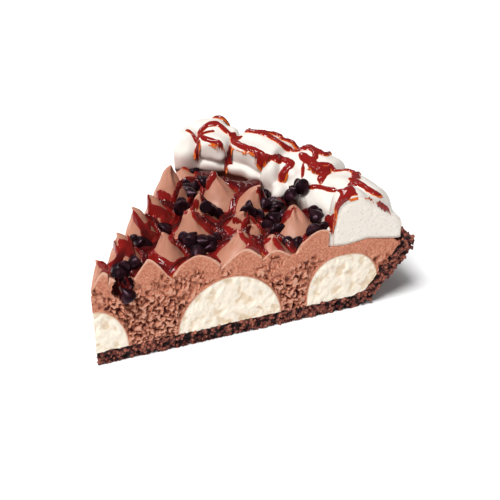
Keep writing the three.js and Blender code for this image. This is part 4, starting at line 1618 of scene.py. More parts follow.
@dataclass
class Cream:
    """The whipped cream: a ring with heaps that merge along soft creases."""

    core: Pair = (107.5, 34.5)
    ring_middle: Pair = (110.0, 29.0)
    ring_half: float = 12.6
    ring_power: float = 2.6
    bed: tuple[Pair, ...] = (
        (92, MOUSSE_LEVEL), (98.6, 30), (107.8, 31.1), (119, 28.7), (122, 28.6), (130, 28.6))
    crease: float = 0.4
    bend: float = 1.2
    bend_size: float = 9.0
    rounding: float = 0.5
    rounding_reach: float = 2.4
    wrinkle: float = 0.06
    wrinkle_size: float = 3.0
    pore: float = 0.22
    pore_size: float = 1.5
    grain: float = 0.09
    grain_size: float = 1.4
    cut_sunk: float = 0.1
    rows: int = 226
    columns: int = 220
    cut_rings: int = 34
    steps: int = 64
    nearest: float = 1.5
    furthest: float = 24.0
    # where the painted shade at the inner foot lies: heights, radii and turns
    foot_shade_heights: Pair = (33.4, 35.2)
    foot_shade_radii: Pair = (100, 102)
    foot_shade_turns: Pair = (29, 31)

    def depth(self, points: Array, sway: Array | float = 0.0) -> Array:
        """How far places lie inside the cream, in mm, negative outside.

        Each heap is a superellipsoid, the ring a superellipse turned about the axis, and the inside is their
        soft maximum, held above the mousse and the rim.

        Args:
            points: Places in mm.
            sway: How far the heaps' own space is bent there, in mm.

        Returns:
            The depth at each place.
        """
        bent = points + sway
        radius = np.linalg.norm(bent[..., :2], axis=-1)
        middle, base = self.ring_middle
        half, power = self.ring_half, self.ring_power
        out = np.abs((radius - middle) / half) ** power + np.abs((bent[..., 2] - base) / half) ** power
        total = np.exp((1 - out ** (1 / power)) * half / self.crease)
        for lobe in LOBES:
            turn = math.radians(lobe.turn) - HALF_ANGLE
            way = np.array([math.cos(turn), math.sin(turn)])
            offset = bent[..., :2] - way * lobe.radius
            out = (np.abs((offset @ way) / lobe.reach) ** lobe.power
                   + np.abs((offset @ np.array([-way[1], way[0]])) / lobe.breadth) ** lobe.power
                   + np.abs((bent[..., 2] - lobe.height) / lobe.rise) ** lobe.power) ** (1 / lobe.power)
            size = min(lobe.reach, lobe.breadth, lobe.rise)
            total += np.exp(np.clip((1 - out) * size / self.crease, -60, 60))
        inside = self.crease * np.log(total)
        bed = np.interp(np.linalg.norm(points[..., :2], axis=-1), *np.array(self.bed).T)
        return np.minimum(inside, points[..., 2] - bed)

    def outline(self, angles: Array, spoke: Array) -> Array:
        """Finds how far the cream reaches from its core line, along spokes of each section.

        It is found once in plain space and once more in space bent by noise at what was found.

        Args:
            angles: The sections' turns.
            spoke: The spokes' ways in a section.

        Returns:
            Radius and height of the outline, by section and spoke.
        """
        core = np.array(self.core)
        reach = np.linspace(self.nearest, self.furthest, self.steps)
        index = np.arange(len(spoke))
        edge = np.full((len(angles), len(spoke)), self.furthest / 2)
        sway = np.zeros((*edge.shape, 1, 3))
        for bend in (0.0, self.bend):
            if bend:
                found = core + spoke[None] * edge[..., None]
                found = polar(found[..., 0], angles[:, None], found[..., 1])
                sway = bend * noise_ways(found, self.bend_size, 81)[:, :, None]
            for row, angle in enumerate(angles):
                profile = core + spoke[:, None] * reach[None, :, None]
                depth = self.depth(revolve(profile, [angle])[0], sway[row])
                last = np.clip(self.steps - 1 - np.argmax(depth[:, ::-1] > 0, axis=1), 0, self.steps - 2)
                here, there = depth[index, last], depth[index, last + 1]
                part = np.clip(here / np.maximum(here - there, 1e-9), 0, 1)
                edge[row] = reach[last] + part * (reach[1] - reach[0])
        edge[:, -1] = edge[:, 0]
        return core + spoke[None] * edge[..., None]

    def build(self, finish: bpy.types.Material) -> Shell:
        """Makes the cream: its skin, and its two cuts from the core line out to the skin.

        Args:
            finish: Its material.

        Returns:
            The cream, which sauce can lie on.
        """
        angles = np.linspace(-HALF_ANGLE, HALF_ANGLE, self.rows)
        swing = np.linspace(0, 2 * math.pi, self.columns + 1)
        profile = self.outline(angles, polar(1, swing))
        patches = [Patch(polar(profile[..., 0], angles[:, None], profile[..., 1])[::-1])]
        shares = np.linspace(0, 1, self.cut_rings)[:, None, None]
        for row, turned in ((0, True), (-1, False)):
            section = self.core + (profile[row] - self.core)[None] * shares
            patches.append(Patch(revolve(section, angles[[row]])[0], turned))
        shell = Shell.closed(patches)
        cut = shell.on_cuts()
        pores, _, tint = scattered_cells(shell.points, self.pore_size, 91)
        pit = smooth_step(-pores, -0.34, -0.1) * smooth_step(tint, 0.5, 0.75)
        grain = soft_noise(shell.points, self.grain_size, 93, 2)
        wrinkle = self.wrinkle * soft_noise(shell.points, self.wrinkle_size, 95)
        inside = smooth_step(self.depth(shell.points), 0, self.rounding_reach)
        rounding = self.rounding * (1 - inside) ** 2
        shell.push(np.where(cut, -self.cut_sunk + self.grain * grain - self.pore * pit - rounding, wrinkle))
        shell.values["cut"] = cut.astype(float)
        # Painted shade: overhanging faces go mauve, more so low down.
        overhang = smooth_step(-shell.normals()[:, 2], -0.5, 0.2)
        height = shell.points[:, 2]
        shell.values["fold_shade"] = np.where(cut, 0, overhang * (0.4 + 0.3 * smooth_step(-height, -44, -33)))
        # Painted shade: the low inner foot under the roll goes dark red.
        turn = np.degrees(np.arctan2(shell.points[:, 1], shell.points[:, 0]) + HALF_ANGLE)
        radius = np.linalg.norm(shell.points[:, :2], axis=1)
        low, inner = (
            smooth_step(-value, -most, -least)
            for value, (least, most) in ((height, self.foot_shade_heights), (radius, self.foot_shade_radii)))
        shell.values["foot_shade"] = np.where(cut, 0, low * inner * smooth_step(turn, *self.foot_shade_turns))
        shell.piece("whipped_cream_spooned", finish, Slot.CREAM, ["whipped_cream"], crease=60)
        return shell


@dataclass(frozen=True)
class PhotoView:
    """The photograph's camera: where it stands from the pie's axis, where it looks, and its focal length."""

    right: float = 56.0
    back: float = 315.5
    height: float = 255.6
    look_turn: float = 42.4
    look_down: float = 33.0
    focal_pixels: float = 1100.0
    image_pixels: int = 500
    sensor: float = 36.0

    @property
    def ahead(self) -> Array:
        """The way that the camera looks, in plan."""
        return np.array([math.cos(math.radians(self.look_turn)), math.sin(math.radians(self.look_turn))])

    @property
    def side(self) -> Array:
        """The way to the camera's right, in plan."""
        return np.array([self.ahead[1], -self.ahead[0]])

    @property
    def spot(self) -> Array:
        """Where the camera stands, in mm."""
        return np.array([*(self.side * self.right - self.ahead * self.back), self.height])

    def rays(self, pixels: Array) -> Array:
        """Works out the ways from the camera through pixels.

        Args:
            pixels: Places in the photograph.

        Returns:
            One way for each, a unit long along the camera's own.
        """
        down = math.radians(self.look_down)
        forward = np.array([*(self.ahead * math.cos(down)), -math.sin(down)])
        upward = np.array([*(self.ahead * math.sin(down)), math.cos(down)])
        across, drop = (pixels - self.image_pixels / 2).T / self.focal_pixels
        return forward + across[:, None] * np.array([*self.side, 0]) - drop[:, None] * upward


# Where the points that a face is sampled at lie in it, as shares of its three corners
FACE_SPOTS = np.array([
    (1, 0, 0), (0, 1, 0), (0, 0, 1), (.5, .5, 0), (0, .5, .5), (.5, 0, .5),
    (.67, .17, .17), (.17, .67, .17), (.17, .17, .67), (.33, .33, .33)])


@dataclass
class Terrain:
    """Heights of everything that sauce can lie on, over a plan grid.

    Where a surface overhangs another, only what lies within the slack below the highest counts.
    """

    shells: list[Shell]
    pitch: float = 0.3
    slack: float = 1.0
    upward: float = 0.12
    floor: float = 27.0
    ceiling: float = 56.0
    ray_step: float = 0.1
    fill_passes: tuple[int, ...] = (5, 5, 2, 2, 2)  # known neighbours that each pass over the gaps needs
    low: Pair = (-2.0, -60.0)
    size: tuple[int, int] = (446, 400)
    heights: Array = field(init=False)

    def __post_init__(self) -> None:
        """Lays the shells over one another, the highest on top."""
        self.heights = np.full(self.size, self.floor)
        for shell in self.shells:
            self.heights = np.fmax(self.heights, self.layer(shell))

    def layer(self, shell: Shell) -> Array:
        """Works out one shell's height in each square of the grid, from points spread over its upward faces.

        Args:
            shell: The shell.

        Returns:
            The heights in mm, unknown where the shell isn't.
        """
        across = Shell.face_normals(shell.points, shell.faces)
        upward = across[:, 2] > self.upward * np.linalg.norm(across, axis=1)
        if "cut" in shell.values:
            upward &= shell.values["cut"][shell.faces].min(axis=1) < 0.5
        corners = shell.points[shell.faces[upward]]
        spread = np.einsum("sk,tkx->tsx", FACE_SPOTS, corners).reshape(-1, 3)
        cell = np.floor((spread[:, :2] - self.low) / self.pitch).astype(int)
        held = ((cell >= 0) & (cell < self.size)).all(axis=1)
        flat = cell[held, 0] * self.size[1] + cell[held, 1]
        height, squares = spread[held, 2], self.size[0] * self.size[1]
        highest = np.full(squares, -np.inf)
        np.maximum.at(highest, flat, height)
        top = height > highest[flat] - self.slack
        count = np.bincount(flat[top], minlength=squares)
        total = np.bincount(flat[top], height[top], minlength=squares)
        with np.errstate(invalid="ignore", divide="ignore"):
            mean = (total / count).reshape(self.size)
        for least in self.fill_passes:
            mean = np.where(np.isnan(mean), self.neighbours(mean, least), mean)
        return mean

    @staticmethod
    def neighbours(heights: Array, least: int) -> Array:
        """The mean of each square's known neighbours.

        Args:
            heights: The grid.
            least: How many of the eight have to be known.

        Returns:
            The means, unknown where too few are known.
        """
        padded = np.pad(heights, 1, constant_values=np.nan)
        rows, columns = heights.shape
        stack = np.array([padded[1 + i:1 + i + rows, 1 + j:1 + j + columns]
                          for i in (-1, 0, 1) for j in (-1, 0, 1) if (i, j) != (0, 0)])
        known = (~np.isnan(stack)).sum(axis=0)
        total = np.where(np.isnan(stack), 0, stack).sum(axis=0)
        return np.where(known >= least, total / np.maximum(known, 1), np.nan)

    def softened(self, width: float) -> Array:
        """Blurs the heights by repeated averaging of neighbours.

        Args:
            width: The blur's width in mm.

        Returns:
            The blurred grid.
        """
        soft = self.heights
        for _ in range(int(2 * (width / self.pitch) ** 2)):
            padded = np.pad(soft, 1, mode="edge")
            soft = (padded[:-2, 1:-1] + 2 * soft + padded[2:, 1:-1]) / 4
            padded = np.pad(soft, 1, mode="edge")
            soft = (padded[1:-1, :-2] + 2 * soft + padded[1:-1, 2:]) / 4
        return soft

    def seen(self, view: PhotoView, pixels: Array) -> Array:
        """Finds where the rays through pixels first meet the terrain, stepping down in height.

        Args:
            view: The photograph's camera.
            pixels: Places in the photograph.

        Returns:
            The places met, in mm.
        """
        ways = view.rays(pixels)
        levels = np.arange(self.ceiling, self.floor - 1, -self.ray_step)
        reach = (levels - view.spot[2]) / ways[:, 2:]
        path = view.spot + ways[:, None] * reach[..., None]
        under = self.sample(self.heights, path[..., :2]) > levels
        first = np.where(under.any(axis=1), np.argmax(under, axis=1), len(levels) - 1)
        return path[np.arange(len(pixels)), first]

    def sample(self, heights: Array, plan: Array) -> Array:
        """Reads a grid of values at places in plan, blending the four nearest squares.

        Args:
            heights: The grid.
            plan: The places, in mm.

        Returns:
            The value at each.
        """
        spot = (plan - self.low) / self.pitch - 0.5
        spot = np.clip(spot, 0, np.array(self.size) - 1.001)
        corner = np.floor(spot).astype(int)
        part = spot - corner
        i, j = corner[..., 0], corner[..., 1]
        a, b = part[..., 0], part[..., 1]
        return (heights[i, j] * (1 - a) * (1 - b) + heights[i + 1, j] * a * (1 - b)
                + heights[i, j + 1] * (1 - a) * b + heights[i + 1, j + 1] * a * b)


@dataclass(frozen=True)
class Ribbon:
    """A ribbon of sauce: its width in mm, and the photograph's pixels that it runs through."""

    name: str
    width: float
    pixels: tuple[Pair, ...]


@dataclass(frozen=True)
class HiddenRibbon:
    """A ribbon on a side that the photograph doesn't show, as turns from the front cut and radii."""

    name: str
    width: float
    stops: tuple[Pair, ...]


@dataclass(frozen=True)
class Pool:
    """Sauce that has gathered: the photograph's pixel at its middle, and its half-width in mm."""

    name: str
    pixel: Pair
    reach: float


@dataclass(frozen=True)
class Pond:
    """Sauce that stands level: a pixel over its middle, its half-width and the height of its top, in mm."""

    name: str
    pixel: Pair
    reach: float
    level: float


@dataclass
class Strand:
    """Points in mm that sauce runs through, and its half-width at each."""

    points: Array
    half_width: Array


RIBBONS = (
    Ribbon("tip_collar", 2.8, ((99, 263), (104, 265), (110, 267), (115, 264), (119, 259), (121, 254),
        (122, 249))),
    Ribbon("tip_fall", 3.3, ((108, 268), (106, 273), (102, 279), (97, 285))),
    Ribbon("third_peak_lip", 2.2, ((116, 236), (114, 241), (114, 246), (117, 250), (120, 254))),
    Ribbon("third_peak_right", 2.8, ((120, 242), (125, 245), (130, 248), (134, 253))),
    Ribbon("sixth_peak_foot", 2.6, ((128, 237), (130, 242), (134, 246), (139, 250), (143, 254), (148, 256))),
    Ribbon("sixth_peak_left", 2.7, ((133, 213), (136, 218), (140, 224), (144, 229), (148, 233), (153, 236),
        (158, 237))),
    Ribbon("sixth_peak_right", 2.4, ((156, 219), (151, 221), (148, 226), (147, 231))),
    Ribbon("eighth_peak_tip", 2.6, ((148, 197), (148, 202), (149, 207), (149, 212))),
    Ribbon("eighth_peak_skirt", 4.1, ((149, 210), (155, 211), (162, 213), (168, 216), (172, 219))),
    Ribbon("tenth_peak_collar", 3.8, ((157, 194), (163, 197), (170, 200))),
    Ribbon("tenth_peak_right", 2.2, ((182, 182), (178, 187), (176, 193), (174, 199), (171, 205), (168, 209))),
    Ribbon("ninth_peak_left", 2.4, ((187, 212), (181, 215), (176, 219), (173, 224), (169, 230), (165, 234))),
    Ribbon("ninth_peak_right", 2.4, ((193, 213), (196, 218), (201, 223), (207, 229), (213, 234), (220, 238))),
    Ribbon("ninth_peak_far", 2.2, ((195, 214), (201, 217), (209, 219), (216, 223), (223, 228), (232, 231))),
    Ribbon("fifth_peak_left", 2.7, ((160, 235), (157, 241), (154, 247), (152, 253), (157, 259), (165, 263),
        (172, 268))),
    Ribbon("fourth_peak_back", 4.4, ((149, 255), (154, 260), (162, 265), (169, 270), (176, 268))),
    Ribbon("fifth_peak_right", 2.7, ((170, 238), (176, 242), (182, 247), (188, 252), (195, 256), (203, 258))),
    Ribbon("twelfth_peak_left", 2.7, ((205, 258), (212, 256), (217, 252), (221, 247), (226, 241), (232, 235),
        (236, 231))),
    Ribbon("eleventh_peak_right", 1.8, ((201, 197), (204, 201), (210, 206), (217, 211), (224, 216),
        (232, 219), (240, 221))),
    Ribbon("eleventh_peak_left", 2.3, ((197, 201), (195, 205), (191, 209))),
    Ribbon("thirteenth_peak_left", 2.8, ((215, 173), (212, 178), (208, 183), (204, 189), (202, 194))),
    Ribbon("behind_tenth_peak", 3.3, ((184, 180), (191, 180), (199, 180), (207, 178))),
    Ribbon("seventeenth_peak_fall", 2.7, ((258, 189), (262, 194), (266, 200), (267, 206), (264, 210))),
    Ribbon("fifteenth_peak_right", 2.2, ((247, 214), (248, 218), (245, 224), (242, 230))),
    Ribbon("fifteenth_peak_thread", 1.3, ((251, 217), (256, 223), (262, 229), (267, 234))),
    Ribbon("twelfth_peak_right", 1.8, ((240, 231), (243, 238), (248, 242), (256, 245), (262, 248))),
    Ribbon("fourteenth_peak_foot", 2.0, ((248, 241), (256, 243), (264, 242), (270, 239))),
    Ribbon("notch_line", 1.8, ((263, 249), (267, 254), (270, 259))),
    Ribbon("sixteenth_peak_right", 2.2, ((274, 239), (277, 244), (281, 249), (285, 253))),
    Ribbon("eighteenth_peak_left", 2.6, ((290, 212), (285, 216), (281, 221), (277, 226), (273, 231),
        (269, 236))),
    Ribbon("nineteenth_peak_top", 1.9, ((303, 241), (308, 239), (314, 238), (318, 236))),
    Ribbon("eighteenth_peak_tip", 1.5, ((294, 206), (292, 210))),
    Ribbon("cream_crown", 2.5, ((199, 136), (201, 131), (205, 127), (210, 124), (216, 123), (221, 126),
        (226, 131), (231, 135), (235, 134))),
    Ribbon("cream_crown_thick", 3.6, ((207, 125), (212, 124), (217, 124))),
    Ribbon("cream_step", 2.3, ((200, 136), (206, 139), (213, 141), (219, 143), (222, 145))),
    Ribbon("cream_drip", 2.2, ((198, 139), (198, 145), (197, 151), (197, 157))),
    Ribbon("cream_corner", 3.0, ((178, 163), (182, 165), (187, 166), (192, 166))),
    Ribbon("cream_link", 3.1, ((241, 137), (237, 139), (233, 141), (240, 145), (247, 148), (254, 150),
        (259, 153), (264, 157), (270, 158))),
    Ribbon("cream_hang", 1.7, ((230, 146), (230, 150), (229, 155), (226, 164), (225, 168), (224, 172))),
    Ribbon("cream_ridge", 2.6, ((243, 132), (250, 131), (257, 132), (264, 134), (271, 137), (278, 141),
        (283, 145), (288, 149), (294, 151))),
    Ribbon("cream_shelf", 3.5, ((272, 158), (279, 160), (286, 160), (291, 163), (289, 167), (285, 171),
        (282, 176), (281, 181))),
    Ribbon("cream_bow", 3.4, ((297, 151), (303, 148), (310, 148), (317, 151), (324, 154), (329, 153))),
    Ribbon("cream_slide", 4.0, ((301, 154), (305, 158), (310, 161), (315, 166), (320, 170), (326, 172),
        (322, 177), (321, 182))),
    Ribbon("cream_thread", 1.6, ((303, 165), (303, 172), (302, 178))),
    Ribbon("cream_line", 2.2, ((309, 187), (316, 187), (323, 188), (330, 190), (338, 191), (345, 191))),
    Ribbon("cream_star", 4.8, ((352, 183), (350, 188), (347, 193), (344, 198), (341, 204), (339, 209))),
    Ribbon("cream_star_arm", 2.5, ((347, 192), (352, 193), (356, 194))),
    Ribbon("cream_star_toe", 1.7, ((339, 210), (344, 210), (348, 213))),
    Ribbon("cream_peaklet", 3.4, ((358, 173), (356, 177), (353, 180))),
    Ribbon("cream_long_line", 2.6, ((350, 179), (356, 181), (362, 185), (368, 189), (374, 193), (380, 195))),
    Ribbon("cream_dash", 1.7, ((367, 198), (371, 200))),
    Ribbon("cream_end", 2.6, ((376, 203), (381, 207), (386, 210), (388, 214), (388, 219))),
    Ribbon("cream_foot", 2.9, ((325, 220), (330, 221), (335, 217))),
    Ribbon("rim_drip", 2.2, ((405, 218), (406, 224), (409, 229), (414, 233), (418, 236))),
)
POOLS = (
    Pool("tip_ring", (131, 252), 2.1), Pool("third_peak_foot", (125, 250), 1.6),
    Pool("sixth_peak_pool", (146, 233), 2.1), Pool("sixth_peak_pool_right", (151, 238), 1.6),
    Pool("eighth_peak_pool", (165, 221), 1.9), Pool("cut_edge_pool", (252, 249), 2.4),
    Pool("cut_edge_pool_right", (257, 250), 2.0), Pool("cut_edge_pool_left", (247, 252), 1.5),
    Pool("step_end", (221, 146), 1.1), Pool("drip_end", (197, 160), 1.4),
    Pool("drip_end_left", (193, 162), 1.0),
    Pool("link_pool", (260, 157), 2.2), Pool("link_pool_low", (262, 163), 1.6),
    Pool("hang_pool", (228, 160), 1.6), Pool("hang_pool_right", (231, 162), 1.2),
    Pool("foot_pool", (333, 227), 1.3), Pool("notch_pool", (171, 271), 1.8),
)
PONDS = (
    Pond("left", (192, 178), 6.0, 33.5), Pond("left_middle", (206, 177), 6.0, 34.0),
    Pond("behind_left", (222, 182), 5.0, 36.5), Pond("heart", (232, 187), 5.5, 37.5),
    Pond("heart_right", (243, 188), 6.0, 37.5), Pond("shaded", (254, 184), 5.0, 36.0),
    Pond("drop", (238, 197), 4.6, 37.0), Pond("right", (285, 200), 6.0, 33.0),
    Pond("far_right", (312, 214), 6.0, 33.0),
)
HIDDEN_RIBBONS = (
    HiddenRibbon("outer_front", 1.9, ((9, 112), (14, 118), (19, 113), (21, 108))),
    HiddenRibbon("outer_middle", 2.2, ((22, 112), (27, 119), (32, 114))),
    HiddenRibbon("outer_back", 1.9, ((33, 116), (38, 111), (43, 118), (48, 113))),
    HiddenRibbon("back_cut_edge", 1.7, ((46, 102), (49, 97), (52, 100))),
    HiddenRibbon("outer_drip", 1.3, ((26.5, 113), (27.2, 121))),
    HiddenRibbon("outer_drip_back", 1.3, ((41, 114), (42, 122))),
)


@dataclass(frozen=True)
class Sheet:
    """One sheet of sauce: its piece's name, the radii in mm that it lies between, and its seed.

    Sauce may also gather in its hollows.
    """

    name: str
    span: Pair
    seed: int
    gathers: bool = False


PEAKS_SHEET = Sheet("sauce_over_peaks", (0.4, 97.5), 71, gathers=True)
CREAM_SHEET = Sheet("sauce_over_cream", (88.4, 128.0), 77)


@dataclass
class Drizzle:
    """The sauce: thin glossy sheets draped over what they lie on, thicker where they gather."""

    view: PhotoView
    thickness: float = 0.75
    shoulder: float = 0.45
    columns: float = 0.38
    rows: int = 300
    inset: float = 0.1
    hidden: float = 0.75
    jump: float = 2.6
    run_step: float = 0.19
    run_taper: float = 1.6
    shortest: int = 4
    hidden_steps: int = 60
    near: float = 5.0
    merge: float = 0.4
    sway: float = 0.16
    sway_size: float = 2.6
    gather_blur: float = 2.6
    gather_dip: float = 0.5
    gather_sway: float = 0.35
    gather_size: float = 9.0
    gather_slope: float = 3.0
    pond_slope: float = 1.5
    pond_rise: float = 2.0
    fillet_blur: float = 0.8
    level_blur: float = 2.2
    slope_blur: float = 0.35
    steepest: float = 6.0
    wide: Pair = (1.4, 3.4)
    wide_gain: float = 0.5
    fill_rise: float = 0.9
    edge_slope: float = 1.3
    edge_dip: float = 0.45
    under: float = 0.25
    # painted shade: how near and how strongly the sauce darkens round the fallen chips
    chip_shade_reach: Pair = (1.4, 3.4)
    chip_shade_gain: float = 2.4

    def strands(self, terrain: Terrain) -> list[Strand]:
        """Lays the ribbons and pools on the surfaces that the photograph shows them on.

        A ribbon's pixels are joined by straight steps of about half a pixel, each is sent down its ray
        to the terrain, and the line breaks where the surface jumps.

        Args:
            terrain: Everything that sauce can lie on.

        Returns:
            The unbroken strands.
        """
        found = []
        for ribbon in RIBBONS:
            length = np.linalg.norm(np.diff(np.array(ribbon.pixels, float), axis=0), axis=1).sum()
            spots = terrain.seen(self.view, resample(list(ribbon.pixels), int(2 * length) + 2))
            breaks = np.flatnonzero(np.linalg.norm(np.diff(spots, axis=0), axis=1) > self.jump) + 1
            for run in np.split(spots, breaks):
                if len(run) > self.shortest:
                    left = np.minimum(np.arange(len(run)), np.arange(len(run))[::-1]) * self.run_step
                    taper = 0.5 + 0.5 * smooth_step(left, 0, self.run_taper)
                    found.append(Strand(run, ribbon.width / 2 * taper))
        for hidden in HIDDEN_RIBBONS:
            turn, radius = resample(list(hidden.stops), self.hidden_steps).T
            turn = np.radians(turn) - HALF_ANGLE
            plan = polar(radius, turn)
            spots = np.concatenate([plan, terrain.sample(terrain.heights, plan)[:, None]], axis=-1)
            found.append(Strand(spots, np.full(len(spots), hidden.width / 2)))
        for pool in POOLS:
            found.append(Strand(terrain.seen(self.view, np.array([pool.pixel])), np.array([pool.reach])))
        return found

    def cover(self, spots: Array, strands: list[Strand], seed: int) -> Array:
        """How far places lie inside the sauce's outline, in mm, negative outside.

        Each strand holds what lies within its half-width of its points; strands run together softly,
        and noise sways the edge.

        Args:
            spots: Places on the surface, in mm.
            strands: The strands.
            seed: Picks the sway.

        Returns:
            The depth inside the outline.
        """
        total = np.full(spots.shape[:-1], 1e-12)
        for strand in strands:
            low, high = strand.points.min(axis=0) - self.near, strand.points.max(axis=0) + self.near
            near = ((spots > low) & (spots < high)).all(axis=-1)
            if near.any():
                away = np.linalg.norm(spots[near][:, None] - strand.points[None], axis=-1)
                inside = (strand.half_width[None] - away).max(axis=1)
                total[near] += np.exp(np.clip(inside / self.merge, -40, 40))
        return self.merge * np.log(total) + self.sway * soft_noise(spots, self.sway_size, seed, 2)

    def ponds(self, plan: Array, ground: Array) -> tuple[Array, Array]:
        """How far places lie inside the standing sauce, and how high it stands there, in mm.

        Args:
            plan: Places in plan.
            ground: The terrain's height there.

        Returns:
            The depth inside the outline, and the level.
        """
        inside = np.full(ground.shape, -9.0)
        level = ground.copy()
        for pond in PONDS:
            way = self.view.rays(np.array([pond.pixel], float))[0]
            middle = (self.view.spot + way * (pond.level - self.view.spot[2]) / way[2])[:2]
            away = pond.reach - np.linalg.norm(plan - middle, axis=-1)
            inside = np.maximum(inside, np.minimum(away, self.pond_slope * (pond.level - ground)))
            level = np.maximum(level, ground + (pond.level - ground) * smooth_step(away, 0, self.pond_rise))
        return inside, level

    def gathered(self, terrain: Terrain, plan: Array, ground: Array, seed: int) -> Array:
        """How far places lie inside the sauce that has run down between the peaks, in mm.

        It lies where the ground dips below its own blur, by a depth that varies from place to place.

        Args:
            terrain: What it lies on.
            plan: Places in plan.
            ground: The terrain's height there.
            seed: Picks its unevenness.

        Returns:
            The depth inside the outline.
        """
        dip = terrain.sample(terrain.softened(self.gather_blur), plan) - ground
        spots = np.concatenate([plan, 0 * ground[..., None]], axis=-1)
        uneven = soft_noise(spots, self.gather_size, seed, 2)
        return self.gather_slope * (dip - self.gather_dip - self.gather_sway * uneven)

    @staticmethod
    def closed(top: Array, under: Array, kept: Array) -> tuple[Shell, Array]:
        """Closes two grids of points into one skin, over the cells that have all four corners kept.

        A wall joins the two along each border of those cells.

        Args:
            top: The upper points.
            under: The lower points.
            kept: Which places on the grid are kept.

        Returns:
            The skin, and which points of the two grids, upper ones first, it holds.
        """
        cells = kept[:-1, :-1] & kept[1:, :-1] & kept[:-1, 1:] & kept[1:, 1:]
        count = kept.size
        index = np.arange(count).reshape(kept.shape)
        a, b, c, d = index[:-1, :-1], index[:-1, 1:], index[1:, 1:], index[1:, :-1]
        quads = np.stack([a, b, c, d], axis=-1)[cells]
        padded = np.pad(cells, 1)
        rows, columns = cells.shape
        sides = []
        for i, j, first, second in ((0, 1, a, b), (2, 1, c, d), (1, 0, d, a), (1, 2, b, c)):
            border = cells & ~padded[i:i + rows, j:j + columns]
            one, two = first[border], second[border]
            sides.append(np.stack([two, one, one + count, two + count], axis=-1))
        quads = np.concatenate([quads, quads[:, ::-1] + count, *sides])
        faces = np.concatenate([quads[:, [0, 1, 2]], quads[:, [0, 2, 3]]])
        used, numbers = np.unique(faces, return_inverse=True)
        points = np.concatenate([top.reshape(-1, 3), under.reshape(-1, 3)])
        shell = Shell(points[used], numbers.reshape(faces.shape))
        shell.turn_outwards()
        return shell, used

    def build(self, sheet: Sheet, terrain: Terrain, strands: list[Strand], finish: bpy.types.Material,
              dark: Array | None = None) -> None:
        """Drapes one sheet of sauce.

        Its top follows the softened ground, so it rounds out creases; it thins to nothing at its outline
        and dips just below the ground there, so that its edge is the line where the two meet.

        Args:
            sheet: The sheet.
            terrain: What it lies on.
            strands: The strands of sauce.
            finish: Its material.
            dark: Places round which painted shade colours the sauce as if thick and dark.
        """
        radii = np.arange(*sheet.span, self.columns)
        angles = np.linspace(-HALF_ANGLE, HALF_ANGLE, self.rows)
        plan = polar(radii, angles[:, None])
        plan[0] += FRONT_INWARD * self.inset
        plan[-1] += BACK_INWARD * self.inset
        ground = terrain.sample(terrain.heights, plan)
        inside = self.cover(np.concatenate([plan, ground[..., None]], axis=-1), strands, sheet.seed)
        standing = ground
        if sheet.gathers:
            pooled, standing = self.ponds(plan, ground)
            for other in (self.gathered(terrain, plan, ground, sheet.seed + 6), pooled):
                inside = self.merge * np.logaddexp(inside / self.merge, other / self.merge)
        fillet = terrain.sample(terrain.softened(self.fillet_blur), plan)
        level = terrain.sample(terrain.softened(self.level_blur), plan)
        slope_x, slope_y = np.gradient(terrain.softened(self.slope_blur), terrain.pitch)
        steep = np.sqrt(1 + np.minimum(terrain.sample(slope_x**2 + slope_y**2, plan), self.steepest))
        wide = smooth_step(inside, *self.wide)
        filled = np.maximum(standing, fillet * (1 - wide) + level * wide)
        filled = ground + (filled - ground) * smooth_step(inside, 0, self.fill_rise)
        film = np.where(
            inside > 0, self.thickness * (1 - np.exp(-inside / self.shoulder)), inside * self.edge_slope)
        film = np.maximum(film, -self.edge_dip) * np.where(inside > 0, 1 + self.wide_gain * wide, 1)
        top = filled + film * steep
        under = np.minimum(ground, top) - self.under
        upper, lower = (np.concatenate([plan, height[..., None]], axis=-1) for height in (top, under))
        shell, used = self.closed(upper, lower, inside > -self.hidden)
        depth = np.clip((film + filled - ground) / self.thickness, 0, 5)
        depth = 1.5 * depth + 0.2 if sheet.gathers else depth
        # Painted shade: round the fallen chips the sauce is coloured as if thick and dark.
        if dark is not None:
            least, most = self.chip_shade_reach
            away = np.linalg.norm(plan[..., None, :] - dark[:, :2], axis=-1).min(axis=-1)
            depth += np.where(depth > 0.3, self.chip_shade_gain * smooth_step(-away, -most, -least), 0)
        shell.values["depth"] = np.tile(depth.ravel(), 2)[used]
        shell.piece(sheet.name, finish, Slot.SAUCE, [], crease=80)


@dataclass(frozen=True)
class Lamp:
    """A square soft light, in mm to the camera's right, ahead and up from the pie's axis.

    It has its place, the place that it looks at, its side, its power, and whether glossy things reflect it.
    """

    name: str
    spot: tuple[float, float, float]
    aim: tuple[float, float, float]
    side: float
    watts: float
    mirrored: bool = True


LAMPS = (
    Lamp("window_glint", (-330, -150, 420), (50, 30, 20), 62, 1.1),
    Lamp("back_light", (-160, 430, 380), (50, 50, 30), 110, 0.5),
    Lamp("front_fill", (90, -380, 170), (50, 50, 20), 300, 0.2, mirrored=False),
)


